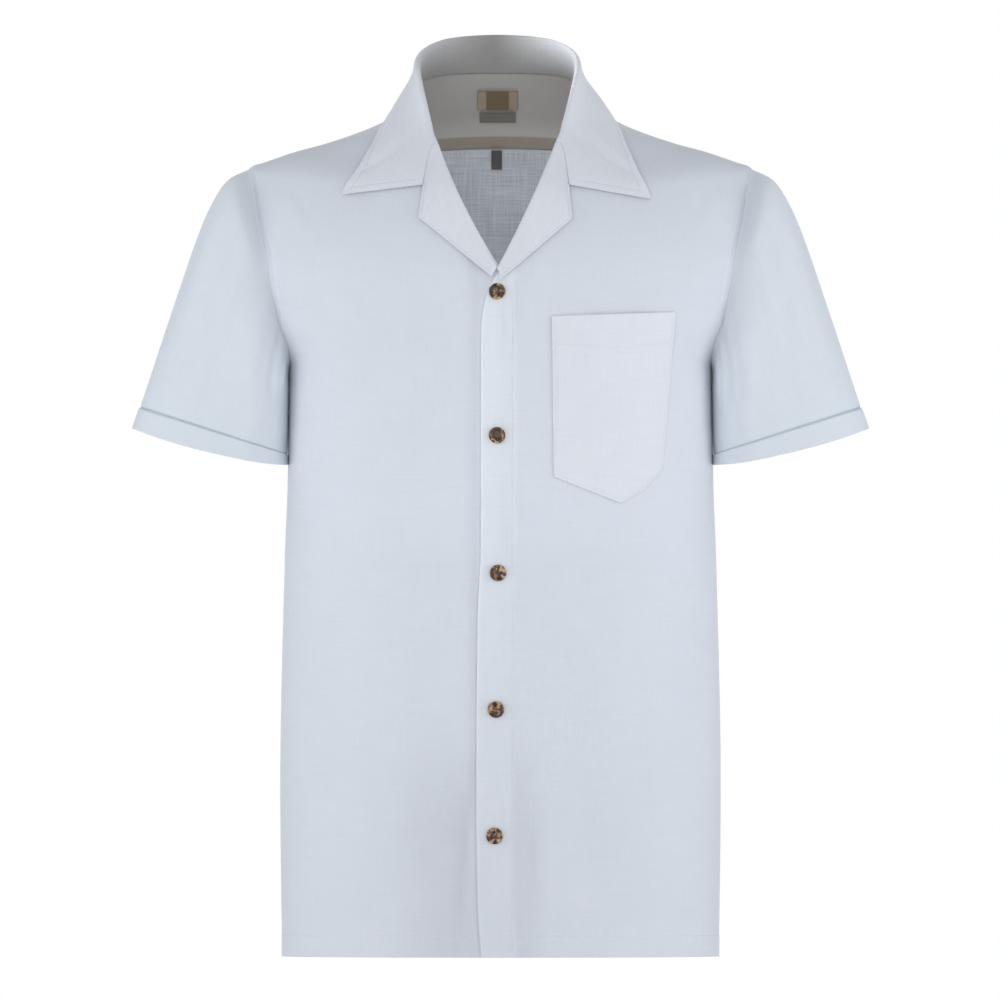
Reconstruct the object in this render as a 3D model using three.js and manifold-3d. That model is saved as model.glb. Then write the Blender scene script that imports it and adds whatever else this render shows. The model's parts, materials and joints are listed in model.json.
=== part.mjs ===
// A short-sleeved linen shirt with a turned-down collar, filled out as if it were worn.
// Millimetres. +Z is up, +Y is the wearer's back and +X the wearer's left.
// The origin lies midway between the two points where the shoulder lines meet the neck.
import * as THREE from "three";
import { mergeVertices } from "three/addons/utils/BufferGeometryUtils.js";
import Module from "manifold-3d";

// Cloth and seams
const wall = 1.5;
const seamGap = 0.3;
const layerGap = 0.5;
const pocketGap = 0.7;
const labelWall = 0.8;
const labelGap = 0.9;

// Body
const hemZ = -747;
const underarmStation = 518;
const shoulderStation = 700;
const neckStation = 860;
const yokeStation = 725;
const armholeTurn = 26.3;

// Opening and button band
const bandLeftOfMiddle = 17;
const bandStitchX = 11.2;
const bandStep = 1.2;
const bandRise = 0.8;
const underlapX = 13;
const underlapStart = -32;
const underlapEnd = -20;
const underlapDrop = wall + 0.6;
const bandFadeLow = -152;
const bandFadeHigh = -140;
const underlapFadeLow = -136;
const underlapFadeHigh = -114;
const openingFoot = { left: { x: 2.5, z: -139 }, right: { x: -3, z: -137.5 } };
const rollBow = { left: 3, right: 5 };

// Lapels and collar
const lapelCorners = {
  left: {
    top: { x: 51.3, z: -32 },
    notch: { x: 60, z: -69 },
    corner: { x: 63, z: -98 },
    foot: { x: 6, z: -147 },
  },
  right: {
    top: { x: -57.5, z: -33 },
    notch: { x: -68, z: -69 },
    corner: { x: -72, z: -97 },
    foot: { x: -8, z: -147 },
  },
};
const collarTips = { left: { x: 131.6, z: -81 }, right: { x: -138.6, z: -77 } };
const leafClear = wall + layerGap;
const lapelLift = 0.5;
const lapelRollLow = 2;
const lapelEase = 0.12;
const rollClear = 0.45;
const bendWeight = 9;

// Buttons
const buttonRadius = 7.25;
const buttonDepth = 3;
const buttonDish = 0.9;
const buttonBevel = 0.9;
const buttonWidestAt = 1.3;
const buttonRim = { outer: 0.6, inner: 1.7, foot: 2.8 };
const buttonSides = 16;
const buttonHole = 0.85;
const buttonHoleSpread = 2.45;
const buttonLift = 0.5;
const buttonColour = 0x4a3220;
const buttonCentres = [
  { x: -3, z: -162 },
  { x: -3, z: -288 },
  { x: -2.2, z: -409 },
  { x: -4, z: -529 },
  { x: -5.3, z: -640 },
];

// Grid counts
const sideRows = 12;
const halfArmRows = 12;
const yokeArmRows = 3;
const ridgeRows = 5;
const frontColumns = 12;
const backColumns = 22;
const foldRows = 9;

const clothRoughness = 0.9;
const buttonRoughness = 0.35;
const linen = { body: 0xd8dae2, sleeve: 0xd6dde3, collar: 0xdedfe8, pocket: 0xe2e4ec };

// The body as rings from the hem to the neck. at is the ring's station along the cloth.
// side is where a ring crosses the side or the shoulder line, front and back where it crosses the middle.
// flat squares the front and back of a ring, edge shapes it at the side and the shoulder line, and
// frontHold and backHold, where small, keep the middle's height almost to the side.
const ringColumns = [
  "at", "sideX", "sideZ", "frontY", "frontZ", "backY", "backZ", "flat", "edge", "frontHold", "backHold",
];
const rings = [
  [0, 192, hemZ, -124, hemZ, 118, hemZ, 0.83, 0.83, 2, 2],
  [150, 193.6, -597, -124, -597, 117, -597, 0.83, 0.83, 2, 2],
  [349, 189.6, -398, -125, -398, 116, -398, 0.83, 0.83, 2, 2],
  [433, 186.8, -314, -127, -314, 118, -314, 0.84, 0.84, 2, 2],
  [518, 186.5, -229, -128, -229, 120, -229, 0.85, 0.85, 2, 2],
  [565, 211, -184, -125, -189, 121, -184, 0.88, 0.88, 2, 2],
  [609, 225.6, -141, -120, -150, 121, -139, 0.9, 0.91, 2, 2],
  [656, 229, -97, -111, -112, 117, -92, 0.94, 1.02, 2, 2],
  [700, 222, -53, -101, -80, 109, -50, 1, 1.18, 2, 2],
  [780, 150, -30, -90, -62, 97, -10, 0.95, 1.15, 2, 1.7],
  [830, 99, -13, -84, -54, 86, 13, 0.85, 1, 1.7, 1.2],
  [860, 71, 20, -78, -46, 77, 32, 0.72, 0.88, 1.4, 0.8],
].map((row) => Object.fromEntries(ringColumns.map((column, i) => [column, row[i]])));

// The neck sits a little towards the wearer's right.
const neckShift = -2.6;
const neckShiftFrom = 825;

// Soft folds that hang down the body. face is -1 in front and 1 behind, x is across the body,
// from and to are stations, reach is half the fold's width and rise its height, less than 0 for a hollow.
const folds = [
  { face: -1, x: -31, from: -60, to: 190, reach: 15, rise: -3.2 },
  { face: -1, x: 27, from: -60, to: 170, reach: 12, rise: -2.6 },
  { face: -1, x: -97, from: 40, to: 500, reach: 46, rise: 2.6 },
  { face: -1, x: 105, from: 60, to: 420, reach: 48, rise: 2.4 },
  { face: -1, x: -150, from: -40, to: 300, reach: 26, rise: -2 },
  { face: -1, x: 158, from: -40, to: 260, reach: 24, rise: -1.8 },
  { face: 1, x: 0, from: 60, to: 560, reach: 40, rise: -3 },
  { face: 1, x: -78, from: -40, to: 430, reach: 34, rise: 3 },
  { face: 1, x: 84, from: -50, to: 400, reach: 36, rise: 2.8 },
  { face: 1, x: -140, from: -20, to: 340, reach: 26, rise: -2.2 },
  { face: 1, x: 146, from: -20, to: 330, reach: 26, rise: -2.4 },
];

// The sleeve as rings from the shoulder cap to the opening. out and in are its far and near points in
// the front view, half its depth is front and back, and rise is the turned-up hem's extra thickness.
const sleeveRings = [
  { outX: 239, outZ: -62, inX: 189.4, inZ: -238, front: 62, back: 64, rise: 0 },
  { outX: 256, outZ: -87, inX: 190.4, inZ: -246, front: 65, back: 67, rise: 0 },
  { outX: 267, outZ: -113, inX: 191, inZ: -254, front: 66, back: 68, rise: 0 },
  { outX: 276.5, outZ: -140, inX: 191.4, inZ: -262, front: 65, back: 67, rise: 0 },
  { outX: 298, outZ: -204, inX: 191.5, inZ: -284, front: 59, back: 61, rise: 0 },
  { outX: 317.6, outZ: -263, inX: 191, inZ: -296, front: 53, back: 54, rise: 0 },
  { outX: 318.2, outZ: -264.5, inX: 191, inZ: -297, front: 53, back: 54, rise: 0.6 },
  { outX: 324.3, outZ: -282, inX: 190, inZ: -314, front: 51, back: 52, rise: 0.6 },
];
const cuffDip = 5;
const sleeveSquareness = 0.92;
const underarmSlack = 0.5;

// The collar from the middle of the back (seat 0) past the side of the neck (1) to the lapel (2).
// stand is its height to the roll, lean turns the stand from upright towards the cloth beside it,
// and ease is how far the leaf keeps the stand's way before it falls to its edge.
// The free edge lies at a station and an angle of the body behind, and at x and z in front.
const collarKeys = [
  { seat: 0, stand: 31, lean: 0.1, roll: 3.2, ease: 0.4, station: 831, angle: 90, lift: 7 },
  { seat: 0.33, stand: 29, lean: 0.1, roll: 3.2, ease: 0.4, station: 831, angle: 62, lift: 6 },
  { seat: 0.67, stand: 24, lean: 0.1, roll: 3.2, ease: 0.4, station: 830, angle: 32, lift: 5 },
  { seat: 1, stand: 17, lean: 0.12, roll: 3.1, ease: 0.4, station: 830, angle: 0, lift: 3.4 },
  { seat: 1.3, stand: 11, lean: 0.3, roll: 3, ease: 0.35, alongTip: 0.3, lift: 3.4 },
  { seat: 1.55, stand: 6, lean: 0.6, roll: 3, ease: 0.26, alongTip: 0.66, lift: 3.2 },
  { seat: 1.75, stand: 3, lean: 0.88, roll: 3, ease: 0.2, alongTip: 1, lift: 3.1 },
  { seat: 1.88, stand: 1, lean: 0.96, roll: 3, ease: 0.16, alongEnd: 0.5, lift: 2.9 },
  { seat: 2, stand: 0, lean: 1, roll: 3, ease: 0.15, alongEnd: 1, lift: 2.7 },
];
const leafShoulder = { x: 102, z: -18 };

// The pocket's outline, clockwise from the top corner nearest the buttons.
const pocket = {
  top: [{ x: 44.9, z: -183.5 }, { x: 153.6, z: -179.5 }],
  foot: [{ x: 46.6, z: -324.7 }, { x: 105.2, z: -348 }, { x: 124.5, z: -337 }, { x: 142.1, z: -319.9 }],
  rows: 8,
  mouthLift: 1.2,
};

// Labels inside the back of the neck
const labels = [
  { name: "label_main", x: -2.6, z: 6.2, width: 36, height: 17.6, colour: 0xb7a68c },
  { name: "label_fibre", x: -2.6, z: -8.4, width: 32, height: 9.7, colour: 0x9d9786 },
  { name: "label_size", x: -3.6, z: -46, width: 10.5, height: 17, colour: 0x6f6d70 },
];

const radians = THREE.MathUtils.degToRad;
const mix = THREE.MathUtils.lerp;
const step = THREE.MathUtils.smoothstep;

// A smooth curve through one column of a table, which never swings past its rows.
function through(rows, key, column) {
  const at = rows.map((row) => row[key]);
  const value = rows.map((row) => row[column]);
  const gap = at.slice(1).map((a, i) => a - at[i]);
  const rate = gap.map((g, i) => (value[i + 1] - value[i]) / g);
  const slope = at.map((_, i) => {
    if (i === 0) return rate[0];
    if (i === at.length - 1) return rate[i - 1];
    if (rate[i - 1] * rate[i] <= 0) return 0;
    const before = 2 * gap[i] + gap[i - 1];
    const after = gap[i] + 2 * gap[i - 1];
    return (before + after) / (before / rate[i - 1] + after / rate[i]);
  });
  return (where) => {
    let i = 0;
    while (i < gap.length - 1 && where > at[i + 1]) i += 1;
    const g = gap[i];
    const t = (where - at[i]) / g;
    const rest = 1 - t;
    const ends = value[i] * (1 + 2 * t) * rest * rest + value[i + 1] * t * t * (3 - 2 * t);
    return ends + g * t * rest * (slope[i] * rest - slope[i + 1] * t);
  };
}

function curvesOf(rows, key) {
  const columns = Object.keys(rows[0]).filter((column) => column !== key);
  return Object.fromEntries(columns.map((column) => [column, through(rows, key, column)]));
}

const ring = curvesOf(rings, "at");

// A point of the smooth body. Angle 0 is the wearer's left side, -90 the front and 90 the back.
function bodyPoint(station, angle) {
  const across = Math.cos(radians(angle));
  const along = Math.sin(radians(angle));
  const depth = along < 0 ? ring.frontY(station) : ring.backY(station);
  const middleZ = along < 0 ? ring.frontZ(station) : ring.backZ(station);
  const hold = along < 0 ? ring.frontHold(station) : ring.backHold(station);
  const sideZ = ring.sideZ(station);
  const shift = neckShift * step(station, neckShiftFrom, neckStation);
  return new THREE.Vector3(
    ring.sideX(station) * Math.sign(across) * Math.abs(across) ** ring.flat(station) + shift,
    depth * Math.abs(along) ** ring.edge(station),
    sideZ + (middleZ - sideZ) * Math.abs(along) ** hold,
  );
}

function outwards(surface, station, angle) {
  const round = surface(station, angle + 0.5).sub(surface(station, angle - 0.5));
  const up = surface(station + 1, angle).sub(surface(station - 1, angle));
  return round.cross(up).normalize();
}

function foldRise(x, face, station) {
  let rise = 0;
  for (const fold of folds) {
    const t = (x - fold.x) / fold.reach;
    if (fold.face !== face || Math.abs(t) >= 1) continue;
    const fade = (fold.to - fold.from) / 3;
    const ends = step(station, fold.from, fold.from + fade) * (1 - step(station, fold.to - fade, fold.to));
    rise += fold.rise * ends * (1 - t * t) ** 2;
  }
  return rise;
}

// The outer face of the body cloth, folds included.
function clothPoint(station, angle) {
  const point = bodyPoint(station, angle);
  const face = Math.sin(radians(angle)) < 0 ? -1 : 1;
  const rise = foldRise(point.x, face, station);
  return rise === 0 ? point : point.addScaledVector(outwards(bodyPoint, station, angle), rise);
}

function clothSpot(station, angle, height = 0) {
  const normal = outwards(clothPoint, station, angle);
  return { point: clothPoint(station, angle).addScaledVector(normal, height), normal };
}

// The station and angle whose point shows at x and z from the front (face -1) or from behind (face 1).
function locate(x, z, face = -1) {
  let best = null;
  for (let station = 0; station <= neckStation; station += 20) {
    for (let turn = 4; turn <= 176; turn += 4) {
      const point = bodyPoint(station, face * turn);
      const miss = Math.hypot(point.x - x, point.z - z);
      if (!best || miss < best.miss) best = { miss, station, angle: face * turn };
    }
  }
  let { station, angle } = best;
  for (let round = 0; round < 12; round += 1) {
    const here = bodyPoint(station, angle);
    const up = bodyPoint(station + 0.5, angle).sub(here).multiplyScalar(2);
    const along = bodyPoint(station, angle + 0.1).sub(here).multiplyScalar(10);
    const area = up.x * along.z - up.z * along.x;
    const missX = x - here.x;
    const missZ = z - here.z;
    station += THREE.MathUtils.clamp((missX * along.z - missZ * along.x) / area, -20, 20);
    angle += THREE.MathUtils.clamp((up.x * missZ - up.z * missX) / area, -6, 6);
  }
  return { station, angle };
}

// How high a point lies over the body cloth, from a first guess of the place below it.
function heightOver(point, guess) {
  let { station, angle } = guess;
  for (let round = 0; round < 8; round += 1) {
    const here = clothPoint(station, angle);
    const up = clothPoint(station + 0.5, angle).sub(here).multiplyScalar(2);
    const along = clothPoint(station, angle + 0.25).sub(here).multiplyScalar(4);
    const miss = point.clone().sub(here);
    const uu = up.dot(up);
    const aa = along.dot(along);
    const ua = up.dot(along);
    const spread = uu * aa - ua * ua;
    const mu = miss.dot(up);
    const ma = miss.dot(along);
    station += THREE.MathUtils.clamp((mu * aa - ma * ua) / spread, -15, 15);
    angle += THREE.MathUtils.clamp((ma * uu - mu * ua) / spread, -5, 5);
    station = Math.min(station, neckStation + 6);
  }
  const normal = outwards(clothPoint, station, angle);
  return { station, angle, normal, height: point.clone().sub(clothPoint(station, angle)).dot(normal) };
}

// The same angle on the other side of the body.
const onSide = (angle, side) => (side > 0 ? angle : 180 - angle);

// Places round an armhole, from the shoulder point (turn 0) to the underarm (180).
function armholePlace(turn, face) {
  const middle = (shoulderStation + underarmStation) / 2;
  const half = (shoulderStation - underarmStation) / 2;
  return {
    station: middle + half * Math.cos(radians(turn)),
    angle: face * armholeTurn * Math.sin(radians(turn)),
  };
}

// The places up one side of a front or the back: side seam, armhole, then the shoulder line.
function sidePlaces(face) {
  const places = [];
  for (let row = 0; row < sideRows; row += 1) {
    places.push({ station: (underarmStation * row) / sideRows, angle: 0 });
  }
  for (let row = halfArmRows; row >= 0; row -= 1) {
    places.push(armholePlace((180 * row) / halfArmRows, face));
  }
  for (let row = 1; row <= ridgeRows; row += 1) {
    places.push({ station: mix(shoulderStation, neckStation, row / ridgeRows), angle: 0 });
  }
  return places;
}

// A sheet of cloth from the spots of its outer face: the same spots moved in by the wall, and a rim.
function sheet(name, grid, colour, { thickness = wall, closed = false, pull = seamGap / 2 } = {}) {
  const last = grid.length - 1;
  const width = grid[0].length;
  const moved = grid.map((row) => row.map((spot) => spot.point.clone()));
  const wrap = (column) => (closed ? (column + width) % width : THREE.MathUtils.clamp(column, 0, width - 1));
  const at = (row, column) => grid[THREE.MathUtils.clamp(row, 0, last)][wrap(column)];
  const drawIn = (cells, alongRow, inwards) => {
    const ways = cells.map(([row, column]) => {
      const before = alongRow ? at(row, column - 1).point : at(row - 1, column).point;
      const after = alongRow ? at(row, column + 1).point : at(row + 1, column).point;
      return after.clone().sub(before).cross(grid[row][column].normal).normalize();
    });
    const towards = cells.map(([row, column], k) => {
      const inner = alongRow ? at(row + inwards, column).point : at(row, column + inwards).point;
      return ways[k].dot(inner.clone().sub(grid[row][column].point));
    });
    const sign = Math.sign(towards.reduce((sum, value) => sum + value, 0));
    cells.forEach(([row, column], k) => moved[row][column].addScaledVector(ways[k], sign * pull));
  };
  const columnsAt = (row) => grid[row].map((_, column) => [row, column]);
  const rowsAt = (column) => grid.map((_, row) => [row, column]);
  drawIn(columnsAt(0), true, 1);
  drawIn(columnsAt(last), true, -1);
  if (!closed) {
    drawIn(rowsAt(0), false, 1);
    drawIn(rowsAt(width - 1), false, -1);
  }
  const places = [];
  for (const row of moved) row.forEach((point) => places.push(...point.toArray()));
  grid.forEach((row, j) =>
    row.forEach((spot, i) => {
      const inner = moved[j][i].clone().addScaledVector(spot.normal, -(spot.wall ?? thickness));
      places.push(...inner.toArray());
    }),
  );
  const index = (row, column, inner) => (inner ? (last + 1) * width : 0) + row * width + (column % width);
  const faces = [];
  const four = (a, b, c, d) => faces.push(a, b, c, a, c, d);
  const columns = closed ? width : width - 1;
  for (let row = 0; row < last; row += 1) {
    for (let column = 0; column < columns; column += 1) {
      four(
        index(row, column), index(row, column + 1), index(row + 1, column + 1), index(row + 1, column),
      );
      four(
        index(row + 1, column, true), index(row + 1, column + 1, true),
        index(row, column + 1, true), index(row, column, true),
      );
    }
  }
  for (let column = 0; column < columns; column += 1) {
    four(index(0, column, true), index(0, column + 1, true), index(0, column + 1), index(0, column));
    four(
      index(last, column), index(last, column + 1), index(last, column + 1, true), index(last, column, true),
    );
  }
  if (!closed) {
    for (let row = 0; row < last; row += 1) {
      four(index(row, 0), index(row + 1, 0), index(row + 1, 0, true), index(row, 0, true));
      const end = width - 1;
      four(index(row, end, true), index(row + 1, end, true), index(row + 1, end), index(row, end));
    }
  }
  const geometry = new THREE.BufferGeometry();
  geometry.setAttribute("position", new THREE.BufferAttribute(new Float32Array(places), 3));
  geometry.setIndex(signedVolume(places, faces) < 0 ? faces.reverse() : faces);
  return namedMesh(name, geometry, colour, clothRoughness);
}

function signedVolume(places, faces) {
  let volume = 0;
  const corner = [new THREE.Vector3(), new THREE.Vector3(), new THREE.Vector3()];
  for (let i = 0; i < faces.length; i += 3) {
    corner.forEach((point, k) => point.fromArray(places, 3 * faces[i + k]));
    volume += corner[0].dot(corner[1].clone().cross(corner[2]));
  }
  return volume;
}

function namedMesh(name, geometry, colour, roughness) {
  geometry.computeVertexNormals();
  const material = new THREE.MeshStandardMaterial({ color: colour, roughness, metalness: 0 });
  const mesh = new THREE.Mesh(geometry, material);
  mesh.name = name;
  return mesh;
}

// Outward directions for a grid of points that turns over itself, such as the collar.
function withNormals(points) {
  const last = points.length - 1;
  return points.map((row, j) =>
    row.map((point, i) => {
      const along = row[Math.min(i + 1, row.length - 1)].clone().sub(row[Math.max(i - 1, 0)]);
      const up = points[Math.min(j + 1, last)][i].clone().sub(points[Math.max(j - 1, 0)][i]);
      return { point, normal: along.cross(up).normalize() };
    }),
  );
}

// How far the outer face of each front lies over the smooth body cloth.
function bandHeight(x, z) {
  const below = 1 - step(z, bandFadeLow, bandFadeHigh);
  return bandRise * below * (1 - step(x, bandStitchX, bandStitchX + bandStep));
}

function underlapHeight(x, z) {
  const below = 1 - step(z, underlapFadeLow, underlapFadeHigh);
  return -underlapDrop * below * step(x, underlapStart, underlapEnd);
}

// The free edge of each front, from the hem to the foot of the opening.
const frontEdges = {
  left: through(
    [
      { z: hemZ, x: -bandLeftOfMiddle },
      { z: -697, x: -20 },
      { z: -520, x: -20 },
      { z: -470, x: -17.5 },
      { z: -196, x: -bandLeftOfMiddle },
      { z: -174, x: -14.5 },
      { z: -156, x: -8.5 },
      { z: openingFoot.left.z, x: openingFoot.left.x },
    ],
    "z",
    "x",
  ),
  right: through(
    [
      { z: hemZ, x: underlapX },
      { z: -200, x: underlapX },
      { z: -165, x: 9 },
      { z: openingFoot.right.z, x: openingFoot.right.x },
    ],
    "z",
    "x",
  ),
};

// A place on the line where a lapel turns over, from the foot of the opening (0) to the collar (1).
function rollPlace(name, t) {
  const foot = openingFoot[name];
  const top = lapelCorners[name].top;
  const bow = 4 * t * (1 - t) * rollBow[name] * Math.sign(top.x);
  return locate(mix(foot.x, top.x, t) + bow, mix(foot.z, top.z, t));
}

// The front neckline from the collar's corner (0) to the side of the neck (1).
function necklinePlace(name, t) {
  const side = name === "left" ? 1 : -1;
  const corner = rollPlace(name, 1);
  const rest = 1 - t;
  const bend = { station: neckStation, angle: onSide(-35, side) };
  const nape = { station: neckStation, angle: onSide(0, side) };
  const near = side > 0 ? corner.angle : (corner.angle + 360) % 360;
  const blend = (a, b, c) => a * rest * rest + 2 * b * t * rest + c * t * t;
  return {
    station: blend(corner.station, bend.station, nape.station),
    angle: blend(near, bend.angle, nape.angle),
  };
}

const middleRows = sideRows + halfArmRows / 2;
const shoulderRow = sideRows + halfArmRows;
const lapelRows = halfArmRows / 2 + ridgeRows;
const frontRows = shoulderRow + ridgeRows;

function front(name) {
  const side = name === "left" ? 1 : -1;
  const edge = frontEdges[name];
  const foot = openingFoot[name];
  const lines = side > 0 ? [bandStitchX, bandStitchX + bandStep] : [underlapEnd, underlapStart];
  const height = side > 0 ? bandHeight : underlapHeight;
  const full = (angle) => (side > 0 ? angle : (angle + 360) % 360);
  const even = Array.from({ length: frontColumns + 1 }, (_, column) => column / frontColumns);
  let shares = even;
  const grid = sidePlaces(-1).map((place, row) => {
    const end = { station: place.station, angle: onSide(place.angle, side) };
    let start;
    if (row <= middleRows) {
      const rise = Math.max(row - sideRows, 0) / (middleRows - sideRows);
      const z = mix(bodyPoint(Math.min(place.station, underarmStation), -90).z, foot.z, rise);
      start = locate(edge(z), z);
      start.angle = full(start.angle);
      const share = (x) => (full(locate(x, z).angle) - start.angle) / (end.angle - start.angle);
      const near = [0, share(mix(edge(z), lines[0], 0.5)), share(lines[0]), share(lines[1])];
      const wide = frontColumns + 1 - near.length;
      shares = [...near];
      for (let column = 1; column <= wide; column += 1) shares.push(mix(near[3], 1, column / wide));
    } else {
      start = rollPlace(name, (row - middleRows) / (frontRows - middleRows));
      start.angle = full(start.angle);
    }
    const settle = row <= middleRows ? 0 : (row - middleRows) / (frontRows - middleRows);
    const curve = row <= shoulderRow ? 0 : ((row - shoulderRow) / ridgeRows) ** 2;
    const corner = rollPlace(name, 1);
    return shares.map((share, column) => {
      const t = mix(share, even[column], settle);
      const bent = necklinePlace(name, t);
      const straight = {
        station: mix(corner.station, neckStation, t),
        angle: mix(full(corner.angle), onSide(0, side), t),
      };
      const station = mix(start.station, end.station, t) + curve * (bent.station - straight.station);
      const angle = mix(start.angle, end.angle, t) + curve * (bent.angle - straight.angle);
      const spot = clothSpot(station, angle);
      const rise = height(spot.point.x, spot.point.z);
      spot.point.addScaledVector(spot.normal, rise);
      spot.wall = wall + Math.max(rise, 0);
      return spot;
    });
  });
  return sheet("front_" + name, grid, linen.body);
}

// A row across the back: it leaves the sides at one station and crosses the middle at another.
function backRow(sidePlace, middleStation) {
  const row = [];
  const half = 90 - sidePlace.angle;
  for (let column = 0; column <= backColumns; column += 1) {
    const angle = sidePlace.angle + (2 * half * column) / backColumns;
    const inwards = 1 - ((angle - 90) / half) ** 2;
    row.push(clothSpot(mix(sidePlace.station, middleStation, inwards), angle));
  }
  return row;
}

const backTopRow = sideRows + halfArmRows - yokeArmRows;

function back() {
  const places = sidePlaces(1).slice(0, backTopRow + 1);
  const top = places[backTopRow].station;
  const grid = places.map((place) => {
    const lift = (yokeStation - top) * step(place.station, top / 2, top);
    return backRow(place, place.station + lift);
  });
  return sheet("back", grid, linen.body);
}

function yoke() {
  const places = sidePlaces(1).slice(backTopRow);
  const grid = places.map((place, row) =>
    backRow(place, mix(yokeStation, neckStation, row / (places.length - 1))),
  );
  return sheet("yoke", grid, linen.body);
}

function sleeve(name) {
  const side = name === "left" ? 1 : -1;
  const count = 2 * halfArmRows;
  const seamTurns = Array.from({ length: count }, (_, k) => (360 * k) / count);
  const cap = armholePlace(0, -1);
  const pit = armholePlace(180, -1);
  const rise = bodyPoint(cap.station, cap.angle).sub(bodyPoint(pit.station, pit.angle)).normalize();
  const away = new THREE.Vector3(rise.z, 0, -rise.x);
  const seam = seamTurns.map((turn) => {
    const face = turn <= 180 ? -1 : 1;
    const place = armholePlace(turn <= 180 ? turn : 360 - turn, face);
    const under = (1 - Math.cos(radians(turn))) / 2;
    return bodyPoint(place.station, place.angle).addScaledVector(away, seamGap + underarmSlack * under);
  });
  const tube = sleeveRings.map((row, number) => {
    const far = new THREE.Vector3(row.outX, 0, row.outZ);
    const near = new THREE.Vector3(row.inX, 0, row.inZ);
    const middle = far.clone().add(near).multiplyScalar(0.5);
    const reach = far.clone().sub(near).multiplyScalar(0.5);
    const dip = number >= sleeveRings.length - 3 ? cuffDip : 0;
    return seamTurns.map((turn) => {
      const up = Math.cos(radians(turn));
      const along = Math.sin(radians(turn));
      const depth = along > 0 ? row.front : row.back;
      const point = middle.clone().addScaledVector(reach, Math.sign(up) * Math.abs(up) ** sleeveSquareness);
      point.y = -depth * Math.sign(along) * Math.abs(along) ** sleeveSquareness;
      point.z -= dip * along * along;
      return point;
    });
  });
  const points = [seam, ...tube];
  const last = points.length - 1;
  const grid = points.map((row, j) =>
    row.map((point, i) => {
      const round = row[(i + 1) % count].clone().sub(row[(i + count - 1) % count]);
      const down = points[Math.min(j + 1, last)][i].clone().sub(points[Math.max(j - 1, 0)][i]);
      const normal = down.cross(round).normalize().negate();
      const extra = j === 0 ? 0 : sleeveRings[j - 1].rise;
      const spot = { point: point.clone().addScaledVector(normal, extra), normal, wall: wall + extra };
      spot.point.x *= side;
      spot.normal.x *= side;
      return spot;
    }),
  );
  return sheet("sleeve_" + name, grid, linen.sleeve, { closed: true });
}

// One strip across a turned-over edge: up the stand, round the roll and down the leaf to its free edge.
// seat is the edge spot that it grows from, beyond the way past that edge, and rows the points kept.
function turnedStrip(seat, beyond, strip) {
  const { stand, lean, roll, ease, edge, edgeLift } = strip;
  const upright = new THREE.Vector3(0, 0, 1);
  const rise = upright.multiplyScalar(1 - lean).addScaledVector(beyond, lean).normalize();
  const over = seat.normal.clone().addScaledVector(rise, -seat.normal.dot(rise)).normalize();
  const clear = seamGap + rollClear * (1 - step(stand, 0, 2)) + wall * Math.max(0, -over.dot(beyond));
  const start = seat.point.clone().addScaledVector(seat.normal, -wall).addScaledVector(beyond, clear);
  const path = [];
  const standSteps = stand > 0 ? 8 : 0;
  for (let k = 0; k < standSteps; k += 1) {
    path.push(start.clone().addScaledVector(rise, (stand * k) / standSteps));
  }
  const turn = start.clone().addScaledVector(rise, stand).addScaledVector(over, roll);
  const rollSteps = 12;
  for (let k = 0; k <= rollSteps; k += 1) {
    const bend = (Math.PI * k) / rollSteps;
    path.push(
      turn.clone().addScaledVector(over, -roll * Math.cos(bend)).addScaledVector(rise, roll * Math.sin(bend)),
    );
  }
  const from = path[path.length - 1];
  const reach = from.distanceTo(edge.point);
  const first = from.clone().addScaledVector(rise, -ease * reach);
  const second = edge.point.clone().lerp(from, 0.35).addScaledVector(edge.normal, 0.05 * reach);
  const leaf = new THREE.CubicBezierCurve3(from, first, second, edge.point);
  const leafSteps = 24;
  for (let k = 1; k <= leafSteps; k += 1) {
    const t = k / leafSteps;
    const point = leaf.getPoint(t);
    const guess = { station: mix(seat.station, edge.station, t), angle: mix(seat.angle, edge.angle, t) };
    const under = heightOver(point, guess);
    const least = mix(2 * roll - wall, edgeLift, step(t, 0, 0.7));
    if (under.height < least && under.station < neckStation + 5) {
      point.addScaledVector(under.normal, least - under.height);
    }
    path.push(point);
  }
  return evenly(path, foldRows + 1);
}

// Points spread along a path by length, closer where it turns.
function evenly(path, count) {
  const measure = [0];
  for (let i = 1; i < path.length; i += 1) {
    const here = path[i].clone().sub(path[i - 1]);
    let bend = 0;
    if (i > 1) {
      bend = here.angleTo(path[i - 1].clone().sub(path[i - 2]));
    }
    measure.push(measure[i - 1] + here.length() + bendWeight * bend);
  }
  const total = measure[measure.length - 1];
  const points = [];
  let i = 1;
  for (let k = 0; k < count; k += 1) {
    const want = (total * k) / (count - 1);
    while (i < path.length - 1 && measure[i] < want) i += 1;
    const share = (want - measure[i - 1]) / (measure[i] - measure[i - 1]);
    points.push(path[i - 1].clone().lerp(path[i], THREE.MathUtils.clamp(share, 0, 1)));
  }
  return points;
}

// The way past an edge of the body cloth, lying in the cloth and square to the edge.
function pastEdge(seat, before, after) {
  const along = clothPoint(after.station, after.angle).sub(clothPoint(before.station, before.angle));
  return along.cross(seat.normal).normalize();
}

function edgeOn(place, lift) {
  return { ...clothSpot(place.station, place.angle, lift), station: place.station, angle: place.angle };
}

// The outer edge of a lapel from its foot (0) past the corner to the notch (1).
function lapelEdge(name, t) {
  const { foot, corner, notch } = lapelCorners[name];
  const turn = 8 / lapelRows;
  const from = t < turn ? foot : corner;
  const to = t < turn ? corner : notch;
  const share = t < turn ? t / turn : (t - turn) / (1 - turn);
  return locate(mix(from.x, to.x, share), mix(from.z, to.z, share));
}

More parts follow.
